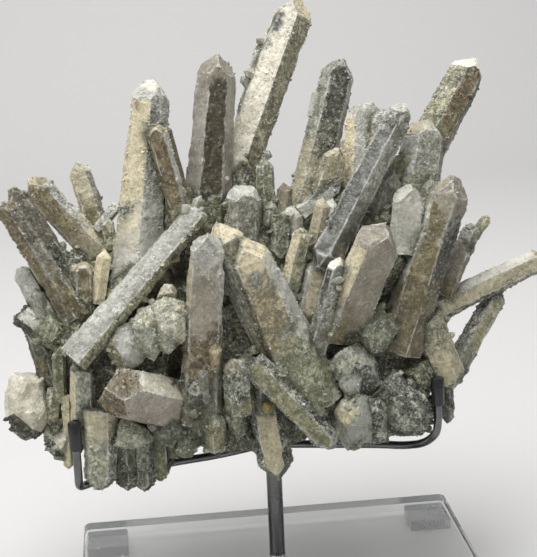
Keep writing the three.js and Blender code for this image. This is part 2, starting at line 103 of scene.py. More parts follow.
class Look(Enum):
    """The kinds of face and crust that the cluster shows."""

    WHITE = Finish((242, 235, 216), (216, 209, 190), 0.4, crust=0.2, frost=0.9, speck=0.4)
    CREAM = Finish((230, 217, 182), (196, 187, 160), 0.4, crust=0.22, frost=0.9, streak=0.1, speck=0.6)
    BEIGE = Finish((200, 191, 162), (156, 149, 124), 0.4, crust=0.25, frost=0.7, streak=0.3, speck=0.5)
    CREAM_GRAIN = Finish((204, 198, 166), (138, 138, 118), 0.5, crust=0.85, frost=1.0, speck=0.3)
    YELLOW = Finish((178, 172, 134), (126, 124, 98), 0.45, crust=0.4, frost=0.8, streak=0.2, speck=0.3)
    TAN = Finish((142, 131, 99), (184, 174, 138), 0.45, crust=0.3, frost=0.5, streak=0.5, speck=0.4)
    SMOKY = Finish((126, 119, 98), (156, 150, 128), 0.4, crust=0.25, frost=0.3, streak=0.3, speck=0.3)
    PINK = Finish((158, 150, 132), (184, 177, 158), 0.3, crust=0.08, frost=0.35, streak=0.2, speck=0.5)
    PALE = Finish((184, 184, 175), (212, 211, 200), 0.4, crust=0.2, frost=0.5, streak=0.2, speck=0.12)
    FROST = Finish((158, 158, 149), (206, 205, 195), 0.45, crust=0.8, frost=0.95, streak=0.1, speck=0.4)
    GREY = Finish((128, 127, 114), (162, 161, 147), 0.45, crust=0.35, frost=0.6, streak=0.2, speck=0.3)
    MAUVE = Finish((172, 166, 155), (196, 190, 178), 0.3, crust=0.12, frost=0.3, streak=0.3, speck=0.35)
    OLIVE = Finish((108, 98, 66), (148, 138, 104), 0.4, crust=0.12, frost=0.25, streak=0.4, speck=0.25)
    GREEN = Finish((124, 126, 100), (166, 166, 134), 0.45, crust=0.6, frost=0.8, streak=0.1, speck=0.35)
    SAGE = Finish((108, 111, 93), (146, 147, 124), 0.45, crust=0.4, frost=0.6, speck=0.3)
    BROWN = Finish((98, 85, 58), (142, 128, 96), 0.45, crust=0.35, frost=0.4, streak=0.4, speck=0.35)
    DARK = Finish((72, 71, 58), (112, 112, 94), 0.4, crust=0.45, frost=0.6, streak=0.1, speck=0.35)
    MATRIX = Finish((92, 94, 80), (166, 164, 134), 0.45, crust=0.85, frost=0.9, speck=0.4)
    SLATE = Finish((82, 83, 76), (108, 108, 97), 0.3, crust=0.04, frost=0.25, streak=0.2, speck=0.1)
    PEARL = Finish((212, 210, 196), (190, 190, 176), 0.3, crust=0.05, frost=0.5, streak=0.1, speck=0.1)
    SUGAR = Finish((98, 102, 90), (214, 213, 198), 0.42, crust=0.95, frost=1.0, speck=0.2)
    LICHEN = Finish((170, 174, 160), (218, 212, 186), 0.46, crust=0.6, frost=0.9, speck=0.4)
    SPECKLED = Finish((146, 141, 118), (196, 190, 162), 0.42, crust=0.55, frost=0.7, streak=0.1, speck=0.2)
    UMBER = Finish((104, 99, 86), (134, 128, 111), 0.4, crust=0.3, frost=0.5, streak=0.3, speck=0.45)
    ROSE = Finish((188, 175, 162), (208, 199, 187), 0.3, crust=0.08, frost=0.5, streak=0.1, speck=0.55)
    GOLD = Finish((122, 106, 44), (156, 140, 72), 0.2, frost=0.0)
    POCKET = Finish((66, 58, 36), (96, 90, 64), 0.28, crust=0.12, frost=0.3, streak=0.2, speck=0.2)


@dataclass(frozen=True)
class Dressing:
    """The looks of one crystal or lump.

    Attributes:
        tip: the crystal's tip, or a lump's middle: mm from the post's axis, and above the ground.
        front: the look of the faces that point to the front.
        left: the look of the faces that point left, if it is another.
        right: the look of the faces that point right, if it is another.
        end: the look of the end faces, if it is another.
        low: the look towards the root, if it is another.
        top: the look of the faces that point up, if it is another.
        under: the look of the faces that point down, if it is another.
    """

    tip: tuple[int, int, int]
    front: Look
    left: Look | None = None
    right: Look | None = None
    end: Look | None = None
    low: Look | None = None
    top: Look | None = None
    under: Look | None = None


DRESSINGS = (
    # the fan at the upper left
    Dressing((-196, -30, 349), Look.UMBER, left=Look.BROWN, right=Look.GREY, end=Look.BROWN, low=Look.OLIVE),
    Dressing((-190, -10, 354), Look.UMBER, left=Look.BROWN, end=Look.BROWN, low=Look.DARK),
    Dressing((-180, 15, 356), Look.TAN, left=Look.BROWN, right=Look.FROST, end=Look.TAN, low=Look.BEIGE),
    Dressing((-142, 40, 364), Look.BEIGE, left=Look.CREAM, right=Look.GREY, end=Look.BEIGE, low=Look.OLIVE),
    Dressing((-77, -5, 432), Look.CREAM, left=Look.CREAM, right=Look.FROST, end=Look.PALE, low=Look.PEARL),
    Dressing((-80, -27, 399), Look.BROWN, right=Look.PALE, end=Look.TAN, low=Look.OLIVE),
    # the tall middle ones
    Dressing((-26, 15, 448), Look.POCKET, left=Look.MAUVE, right=Look.MAUVE, end=Look.PINK),
    Dressing((46, 60, 485), Look.WHITE, left=Look.WHITE, right=Look.SPECKLED, end=Look.CREAM),
    Dressing((13, 56, 447), Look.GREY, left=Look.PALE),
    Dressing((72, 35, 434), Look.DARK, left=Look.GREY, right=Look.MAUVE, end=Look.GREY, low=Look.BEIGE),
    Dressing((-50, -32, 328), Look.PALE, left=Look.PALE, right=Look.CREAM_GRAIN, end=Look.PALE,
             top=Look.PALE, under=Look.CREAM_GRAIN),
    # the front ones in the middle
    Dressing((-46, -70, 327), Look.PINK, left=Look.BEIGE, right=Look.PALE, end=Look.PALE, low=Look.SMOKY),
    Dressing((-41, -52, 327), Look.TAN, left=Look.GREY, right=Look.MAUVE, end=Look.CREAM, low=Look.TAN),
    Dressing((-25, -62, 318), Look.TAN, left=Look.BROWN, right=Look.PALE, end=Look.BEIGE, low=Look.GREEN),
    Dressing((-13, -20, 353), Look.GREY, left=Look.GREY, right=Look.GREY, end=Look.PALE),
    Dressing((3, -5, 364), Look.GREEN, right=Look.GREY, low=Look.SAGE),
    Dressing((20, -25, 318), Look.PEARL, end=Look.PEARL),
    Dressing((8, -36, 284), Look.SAGE, left=Look.GREEN),
    Dressing((61, -10, 370), Look.BEIGE, left=Look.SMOKY, right=Look.DARK),
    Dressing((62, -15, 341), Look.PALE, right=Look.SAGE),
    Dressing((27, -48, 318), Look.YELLOW, left=Look.CREAM, right=Look.GREEN, low=Look.SAGE),
    Dressing((39, -50, 295), Look.BEIGE, left=Look.PALE, low=Look.SAGE),
    # the upper right
    Dressing((88, 22, 405), Look.PALE, left=Look.CREAM, right=Look.FROST, end=Look.PALE,
             low=Look.CREAM_GRAIN),
    Dressing((100, 14, 397), Look.FROST, left=Look.CREAM_GRAIN, end=Look.FROST),
    Dressing((113, -15, 401), Look.SLATE, left=Look.FROST, right=Look.GREY, end=Look.PALE, low=Look.SLATE),
    Dressing((132, 5, 391), Look.GREY, left=Look.PALE, right=Look.OLIVE, end=Look.BEIGE, low=Look.GREEN),
    Dressing((100, -20, 352), Look.GREY, left=Look.PALE, low=Look.SAGE),
    Dressing((106, -12, 362), Look.YELLOW, low=Look.SAGE),
    # its right and lower faces take a dark look as painted shade on its shadowed side
    Dressing((181, 40, 428), Look.BROWN, left=Look.CREAM_GRAIN, right=Look.DARK, end=Look.WHITE,
             low=Look.OLIVE, under=Look.DARK),
    Dressing((110, -36, 346), Look.PEARL),
    Dressing((127, -25, 345), Look.WHITE, left=Look.CREAM, end=Look.WHITE, low=Look.CREAM),
    Dressing((145, -35, 350), Look.OLIVE, left=Look.PALE, right=Look.DARK, end=Look.MAUVE, low=Look.OLIVE),
    Dressing((90, -30, 322), Look.YELLOW, right=Look.SAGE, low=Look.SAGE),
    # the right edge
    Dressing((180, 0, 304), Look.YELLOW),
    Dressing((166, -10, 304), Look.GREY, left=Look.PALE),
    Dressing((155, -20, 294), Look.PINK, right=Look.BROWN, low=Look.OLIVE),
    Dressing((229, 5, 267), Look.BEIGE, left=Look.CREAM, end=Look.TAN, top=Look.PEARL, under=Look.SUGAR),
    Dressing((188, -5, 247), Look.YELLOW, left=Look.SUGAR, right=Look.BROWN, low=Look.SAGE, under=Look.OLIVE),
    Dressing((143, -36, 170), Look.CREAM, left=Look.CREAM_GRAIN, right=Look.BEIGE, end=Look.GREEN,
             low=Look.CREAM_GRAIN),
    # the big smooth one at the right front, with its neighbours
    Dressing((90, -80, 339), Look.PINK, left=Look.CREAM, right=Look.PALE, end=Look.PINK, low=Look.OLIVE),
    Dressing((50, -70, 298), Look.FROST, left=Look.DARK, end=Look.WHITE, low=Look.GREY),
    # the lower right
    Dressing((50, -74, 233), Look.SUGAR, left=Look.SAGE, end=Look.LICHEN, low=Look.SUGAR),
    Dressing((51, -80, 207), Look.PALE, low=Look.GREEN),
    Dressing((70, -77, 188), Look.SUGAR, left=Look.PALE, right=Look.SUGAR),
    Dressing((121, -53, 146), Look.SUGAR, left=Look.LICHEN, right=Look.SUGAR, top=Look.SUGAR,
             under=Look.SAGE),
    Dressing((58, -56, 138), Look.LICHEN, right=Look.DARK),
    Dressing((75, -46, 136), Look.PALE, right=Look.GREY),
    Dressing((45, -58, 156), Look.GREEN),
    Dressing((139, -21, 138), Look.DARK),
    Dressing((86, -32, 133), Look.GREY),
    Dressing((103, -28, 135), Look.SAGE),
    Dressing((113, -26, 138), Look.DARK),
    # the lower middle
    Dressing((42, -79, 148), Look.YELLOW, left=Look.SUGAR, right=Look.DARK, end=Look.FROST, top=Look.SUGAR),
    Dressing((-1, -57, 114), Look.CREAM, left=Look.SUGAR, right=Look.SUGAR, end=Look.SAGE, low=Look.SAGE),
    Dressing((-30, -75, 231), Look.SUGAR, left=Look.SUGAR, right=Look.DARK, end=Look.FROST, low=Look.YELLOW),
    Dressing((-14, -66, 221), Look.SAGE, right=Look.DARK, end=Look.DARK),
    Dressing((-61, -72, 211), Look.DARK, end=Look.PALE),
    Dressing((-50, -71, 184), Look.YELLOW, right=Look.SAGE),
    Dressing((-35, -69, 190), Look.SAGE),
    Dressing((-72, -66, 141), Look.SAGE),
    Dressing((-48, -46, 154), Look.SUGAR),
    # the stout one that points to the lower left, and those that hang below it
    Dressing((-137, -100, 222), Look.ROSE, left=Look.ROSE, right=Look.ROSE, end=Look.BROWN, top=Look.WHITE,
             under=Look.ROSE),
    Dressing((-138, -60, 117), Look.LICHEN, left=Look.LICHEN, right=Look.SUGAR, end=Look.SAGE,
             low=Look.CREAM),
    Dressing((-117, -50, 113), Look.DARK, left=Look.SUGAR, low=Look.SAGE),
    Dressing((-105, -50, 112), Look.SAGE, left=Look.DARK, right=Look.DARK),
    Dressing((-91, -42, 116), Look.YELLOW, left=Look.SAGE, right=Look.DARK),
    Dressing((-77, -56, 284), Look.BEIGE),
    # the left edge
    Dressing((-188, -20, 297), Look.PALE, right=Look.BROWN, end=Look.PALE),
    Dressing((-183, -30, 253), Look.PALE, left=Look.DARK, right=Look.WHITE, end=Look.WHITE),
    Dressing((-169, -34, 188), Look.OLIVE, left=Look.DARK, right=Look.SAGE, low=Look.DARK),
    Dressing((-144, -63, 233), Look.LICHEN, left=Look.CREAM, right=Look.GREY, end=Look.SAGE),
    Dressing((-167, -45, 143), Look.GREEN),
    Dressing((-152, -6, 303), Look.POCKET, left=Look.DARK, end=Look.DARK, low=Look.DARK),
    Dressing((-139, -22, 301), Look.OLIVE, left=Look.SAGE, right=Look.GREY, end=Look.BEIGE, low=Look.GREEN),
    # lumps, by their middles
    Dressing((-188, -38, 189), Look.WHITE, under=Look.DARK),
    Dressing((-162, -36, 162), Look.WHITE, under=Look.SUGAR),
    Dressing((-79, -60, 253), Look.LICHEN),
    Dressing((-95, -60, 247), Look.LICHEN),
    Dressing((-112, -59, 239), Look.PALE, left=Look.CREAM_GRAIN),
    Dressing((76, -55, 231), Look.SAGE),
    Dressing((77, -41, 244), Look.GREY),
    Dressing((-109, -62, 168), Look.LICHEN, under=Look.SUGAR),
    Dressing((57, -65, 165), Look.LICHEN, left=Look.CREAM, right=Look.PALE, under=Look.PALE),
    Dressing((111, -38, 158), Look.SUGAR),
    Dressing((-166, -34, 244), Look.GREEN),
    Dressing((-84, -54, 168), Look.SAGE),
)

# What the crystals at the back take in turn, and what the root takes.
BACK_DRESSINGS = (
    Dressing((0, 0, 0), Look.CREAM, left=Look.FROST, right=Look.BEIGE, end=Look.WHITE, low=Look.GREEN),
    Dressing((0, 0, 0), Look.SMOKY, left=Look.PALE, right=Look.GREY, end=Look.FROST, low=Look.GREY),
    Dressing((0, 0, 0), Look.FROST, left=Look.TAN, right=Look.DARK, end=Look.PALE, low=Look.GREEN),
    Dressing((0, 0, 0), Look.TAN, left=Look.FROST, right=Look.GREY, end=Look.MAUVE, low=Look.GREEN),
    Dressing((0, 0, 0), Look.GREEN, left=Look.CREAM_GRAIN, right=Look.GREY, low=Look.SAGE),
    Dressing((0, 0, 0), Look.PINK, left=Look.CREAM, right=Look.PALE, end=Look.PINK, low=Look.TAN),
    Dressing((0, 0, 0), Look.OLIVE, left=Look.TAN, right=Look.SMOKY, end=Look.CREAM, low=Look.SAGE),
)
ROOT_DRESSING = Dressing((0, 0, 0), Look.MATRIX)


@dataclass(frozen=True)
class Stain:
    """A spot of another look on the stone.

    Attributes:
        place: its middle: mm from the post's axis, and above the ground.
        radius: its size in mm.
        look: its look.
    """

    place: tuple[int, int, int]
    radius: float
    look: Look


STAINS = (
    # painted shade in the brown pocket in the middle of the left side, and what lies round it
    Stain((-74, -40, 212), 22, Look.POCKET),
    Stain((-66, -32, 285), 14, Look.POCKET),
    Stain((-100, -20, 262), 16, Look.CREAM),
    Stain((-55, -70, 197), 10, Look.DARK),
    Stain((-66, -66, 209), 10, Look.DARK),
    Stain((-130, -60, 188), 11, Look.SLATE),
    Stain((-146, -45, 212), 10, Look.BEIGE),
    Stain((-167, -35, 292), 9, Look.OLIVE),
    # the pinkish head over the dark window of the tall brown one, and the window's green foot
    Stain((-32, 2, 424), 11, Look.PINK),
    Stain((-40, -8, 343), 11, Look.SAGE),
    Stain((-40, -18, 324), 13, Look.GREEN),
    # the snowy tip, the brown shadow and the rough band of the tall left one
    Stain((-82, -14, 426), 9, Look.WHITE),
    Stain((-86, -12, 408), 7, Look.TAN),
    Stain((-99, -40, 262), 9, Look.CREAM_GRAIN),
    Stain((-82, -35, 282), 9, Look.CREAM_GRAIN),
    Stain((-106, -26, 333), 7, Look.SUGAR),
    # the pale head and the ribbed foot of the front pillar
    Stain((-50, -74, 306), 16, Look.PALE),
    Stain((-54, -74, 228), 24, Look.BROWN),
    # the leaning one: its cream head, the grey steps on its front and its knobbly foot
    Stain((-18, -76, 296), 17, Look.CREAM),
    Stain((-12, -74, 284), 8, Look.GREY),
    Stain((-4, -74, 280), 6, Look.GREY),
    Stain((8, -74, 246), 9, Look.GREY),
    Stain((22, -54, 236), 15, Look.DARK),
    Stain((20, -78, 214), 22, Look.GREEN),
    # grey patches on the highest one
    Stain((18, 44, 458), 10, Look.SLATE),
    Stain((11, 40, 443), 8, Look.GREY),
    # the cream strip and the sugared shoulder of the long slanting one
    Stain((66, -40, 308), 9, Look.YELLOW),
    Stain((54, -46, 295), 8, Look.YELLOW),
    Stain((99, -22, 383), 12, Look.FROST),
    # painted shade on the dark edge of the upper right one, and the pinkish head of the one below it
    Stain((180, 36, 388), 11, Look.POCKET),
    Stain((171, 30, 374), 11, Look.POCKET),
    Stain((141, -42, 328), 20, Look.PINK),
    # the shaded sides at the right
    Stain((204, 0, 249), 9, Look.DARK),
    Stain((190, -5, 243), 9, Look.DARK),
    Stain((60, -60, 230), 9, Look.DARK),
    # pale spots low in the middle
    Stain((41, -68, 187), 12, Look.PEARL),
    Stain((52, -60, 168), 12, Look.CREAM),
    Stain((-41, -62, 172), 12, Look.LICHEN),
    # the snowy rim of the stout one
    Stain((-107, -92, 227), 8, Look.WHITE),
    Stain((-121, -100, 234), 9, Look.WHITE),
)


# ---------------------------------------------------------------- repeatable noise


def hashed(cells: np.ndarray, seed: int) -> np.ndarray:
    """Gives each whole-number cell a repeatable random number.

    Args:
        cells: whole numbers, with three in the last axis.
        seed: which set of random numbers.

    Returns:
        Numbers from 0 to 1, one for each cell.
    """
    x, y, z = (cells[..., k].astype(np.int64) for k in range(3))
    mixed = (x * 73856093) ^ (y * 19349663) ^ (z * 83492791) ^ (seed * 40503)
    mixed = ((mixed ^ (mixed >> 13)) * 1274126177) & 0x7FFFFFFF
    return ((mixed ^ (mixed >> 15)) & 0xFFFF) / 65535.0


def soft_noise(points: np.ndarray, cell: float, seed: int) -> np.ndarray:
    """Smooth noise in space.

    Args:
        points: places, with three numbers in each row.
        cell: the size of its lumps, in the points' unit.
        seed: which noise.

    Returns:
        A number from -1 to 1 for each point.
    """
    scaled = points / cell + 1000.0
    low = np.floor(scaled)
    share = scaled - low
    share = share * share * (3 - 2 * share)
    total = np.zeros(len(points))
    for corner in range(8):
        offset = np.array([corner & 1, corner >> 1 & 1, corner >> 2 & 1])
        weight = np.prod(np.where(offset, share, 1 - share), axis=1)
        total += weight * hashed(low + offset, seed)
    return 2 * total - 1


def smoothstep(values: np.ndarray, low: float, high: float) -> np.ndarray:
    """Runs from 0 at low to 1 at high with a smooth start and end."""
    share = np.clip((values - low) / (high - low), 0, 1)
    return share * share * (3 - 2 * share)


def linear(colour: tuple[int, int, int]) -> tuple[float, float, float]:
    """Turns an sRGB colour, 0 to 255, into the linear one that shaders take."""
    parts = [part / 255 for part in colour]
    return tuple(p / 12.92 if p <= 0.04045 else ((p + 0.055) / 1.055) ** 2.4 for p in parts)


def look_values(look: Look) -> tuple[float, ...]:
    """Lists what the stone's material reads of a look.

    Args:
        look: the look.

    Returns:
        Its linear colour, its coat's colour and cover, and its four finish values.
    """
    finish = look.value
    colours = (*linear(finish.colour), *linear(finish.coat), finish.cover)
    return *colours, finish.crust, finish.frost, finish.streak, finish.speck


# ---------------------------------------------------------------- the stone's faces, off its solid


@dataclass
class Facet:
    """One flat face of the stone.

    Attributes:
        triangles: the solid's triangles that make it up.
        normal: its outward direction.
        area: its area in square mm.
        crystal: which crystal or lump it belongs to.
    """

    triangles: list[int]
    normal: np.ndarray
    area: float
    crystal: int = -1


@dataclass
class Crystal:
    """One crystal or lump, as far as it shows.

    Attributes:
        axis: the direction from its root to its tip.
        middle: the middle of what shows of it.
        low: how far along the axis it starts.
        high: how far along the axis it ends.
        lump: whether it is a lump rather than a crystal.
        dressing: the looks of its sides.
    """

    axis: np.ndarray
    middle: np.ndarray
    low: float
    high: float
    lump: bool
    dressing: Dressing


class FacetedStone:
    """The solid stone read as flat facets, each belonging to one crystal or lump.

    Args:
        node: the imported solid.
        origin: the post's axis at ground level, in mm, that dressings are measured from.
    """

    FLAT = 0.04
    LUMP_SHARE = 0.2
    REACH = 16.0
    BACK = 25.0
    HEART = np.array([0.0, 0.0, 225.0])

    def __init__(self, node: Piece, origin: np.ndarray) -> None:
        self.origin = origin
        self.points, self.triangles = self.welded(node.data)
        corners = self.points[self.triangles]
        cross = np.cross(corners[:, 1] - corners[:, 0], corners[:, 2] - corners[:, 0])
        length = np.linalg.norm(cross, axis=1)
        self.areas = length / 2
        self.normals = cross / np.maximum(length, 1e-12)[:, None]
        sides = np.linalg.norm(corners - np.roll(corners, 1, axis=1), axis=2)
        self.thin = length / sides.max(axis=1) < 0.15
        self.owner = {}
        for index, (a, b, c) in enumerate(self.triangles.tolist()):
            self.owner[a, b] = self.owner[b, c] = self.owner[c, a] = index
        self.facets: list[Facet] = []
        self.facet_of = np.full(len(self.triangles), -1)
        self._find_facets()
        self.creases = self._find_creases()
        self.crystals = self._find_crystals()

    @staticmethod
    def welded(mesh: bpy.types.Mesh) -> tuple[np.ndarray, np.ndarray]:
        """Reads a mesh in mm with its doubled corners made one.

        Args:
            mesh: the mesh to read.

        Returns:
            The points and the triangles.
        """
        points = np.empty(len(mesh.vertices) * 3)
        mesh.vertices.foreach_get("co", points)
        mesh.calc_loop_triangles()
        triangles = np.empty(len(mesh.loop_triangles) * 3, np.int32)
        mesh.loop_triangles.foreach_get("vertices", triangles)
        rounded = np.round(points.reshape(-1, 3) / MM, 3)
        unique, index = np.unique(rounded, axis=0, return_inverse=True)
        triangles = index.reshape(-1)[triangles].reshape(-1, 3)
        whole = (triangles != np.roll(triangles, 1, axis=1)).all(axis=1)
        return unique, triangles[whole]

    def _find_facets(self) -> None:
        """Groups the triangles that lie in one plane and touch."""
        for seed in np.argsort(-self.areas):
            if self.facet_of[seed] >= 0:
                continue
            normal = self.normals[seed]
            level = normal @ self.points[self.triangles[seed][0]]
            number = len(self.facets)
            self.facet_of[seed] = number
            found, waiting = [], [int(seed)]
            while waiting:
                triangle = waiting.pop()
                found.append(triangle)
                a, b, c = self.triangles[triangle].tolist()
                for side in ((b, a), (c, b), (a, c)):
                    other = self.owner.get(side)
                    if other is None or self.facet_of[other] >= 0:
                        continue
                    lift = np.abs(self.points[self.triangles[other]] @ normal - level).max()
                    turned = self.normals[other] @ normal < 0.999 and not self.thin[other]
                    if lift < self.FLAT and not turned:
                        self.facet_of[other] = number
                        waiting.append(other)
            self.facets.append(Facet(found, normal, float(self.areas[found].sum())))

    def _find_creases(self) -> dict[tuple[int, int], tuple[int, int, bool]]:
        """Lists the solid's edges between two facets.

        Returns:
            For each edge, from its lower point to its higher: the two facets, and whether it
            stands out as a ridge.
        """
        creases = {}
        for (a, b), triangle in self.owner.items():
            other = self.owner.get((b, a))
            if a > b or other is None:
                continue
            first, second = int(self.facet_of[triangle]), int(self.facet_of[other])
            if first == second:
                continue
            turn = np.cross(self.facets[first].normal, self.facets[second].normal)
            ridge = bool(turn @ (self.points[b] - self.points[a]) > 0)
            creases[a, b] = (first, second, ridge)
        return creases

    def _find_crystals(self) -> list[Crystal]:
        """Joins the facets that meet at ridges: those are the faces of one crystal.

        Returns:
            The crystals and lumps.
        """
        parent = list(range(len(self.facets)))

        def root(item: int) -> int:
            """Finds the group that a facet belongs to.

            Args:
                item: the facet's number.

            Returns:
                The number that stands for its group.
            """
            while parent[item] != item:
                parent[item] = parent[parent[item]]
                item = parent[item]
            return item

        for (a, b), (first, second, ridge) in self.creases.items():
            normals = self.facets[first].normal, self.facets[second].normal
            sharp = np.linalg.norm(np.cross(*normals)) > 0.08
            long = np.linalg.norm(self.points[b] - self.points[a]) > 0.4
            big = min(self.facets[first].area, self.facets[second].area) > 0.5
            if ridge and sharp and long and big:
                parent[root(first)] = root(second)
        members = defaultdict(list)
        for number in range(len(self.facets)):
            members[root(number)].append(number)
        crystals = []
        for group in members.values():
            for number in group:
                self.facets[number].crystal = len(crystals)
            crystals.append(self._measured(group, len(crystals)))
        return crystals

    def _measured(self, group: list[int], number: int) -> Crystal:
        """Finds a crystal's axis and extent, and its looks.

        Args:
            group: its facets.
            number: its number, which picks its looks where no dressing fits.

        Returns:
            The crystal.
        """
        facets = [self.facets[k] for k in group]
        area = sum(facet.area for facet in facets)
        facing = sum(f.area * np.outer(f.normal, f.normal) for f in facets) / area
        used = np.concatenate([self.triangles[f.triangles].ravel() for f in facets])
        corners = self.points[np.unique(used)]
        spread = np.cov(corners.T) if len(corners) > 3 else np.eye(3)
        _, vectors = np.linalg.eigh(facing - 0.25 * spread / np.trace(spread))
        axis = vectors[:, 0]
        lump = len(facets) > 3 and float(axis @ facing @ axis) > self.LUMP_SHARE
        middle = (corners.min(axis=0) + corners.max(axis=0)) / 2
        if axis @ (middle - self.origin - self.HEART) < 0:
            axis = -axis
        dressing, turned = self._dressing(middle, axis, corners, lump)
        axis = -axis if turned else axis
        along = corners @ axis
        if dressing is None:
            hidden = middle[1] - self.origin[1] > self.BACK
            dressing = BACK_DRESSINGS[number % len(BACK_DRESSINGS)] if hidden and not lump else ROOT_DRESSING
        return Crystal(axis, middle, float(along.min()), float(along.max()), lump, dressing)

    def _dressing(self, middle: np.ndarray, axis: np.ndarray, corners: np.ndarray, lump: bool) -> tuple:
        """Picks the dressing whose tip lies best on a crystal's axis, or nearest to a lump.

        Args:
            middle: the crystal's middle.
            axis: its axis, pointing away from the cluster's heart.
            corners: its corners.
            lump: whether it is a lump.

        Returns:
            Its dressing, if one is near enough, and whether the tip is at the axis's other end.
        """
        best, best_score = (None, False), self.REACH
        for dressing in DRESSINGS:
            offset = self.origin + np.array(dressing.tip, float) - middle
            for turned, way in ((False, axis), (True, -axis)):
                ahead = float(offset @ way)
                aside = float(np.linalg.norm(offset - ahead * way))
                beyond = abs(ahead - float(((corners - middle) @ way).max()))
                score = float(np.linalg.norm(offset)) if lump else aside + 0.3 * beyond + 2 * turned
                if score < best_score:
                    best, best_score = (dressing, turned), score
        return best


# ---------------------------------------------------------------- the fine skin of the stone


@dataclass
class SkinMesh:
    """A fine mesh of the stone, in mm.

    Attributes:
        points: its points.
        triangles: its triangles.
        facets: which facet each triangle lies on.
        ridge: each point's distance to the nearest ridge.
        cleft: each point's distance to the nearest cleft.
    """

    points: np.ndarray
    triangles: np.ndarray
    facets: np.ndarray
    ridge: np.ndarray
    cleft: np.ndarray


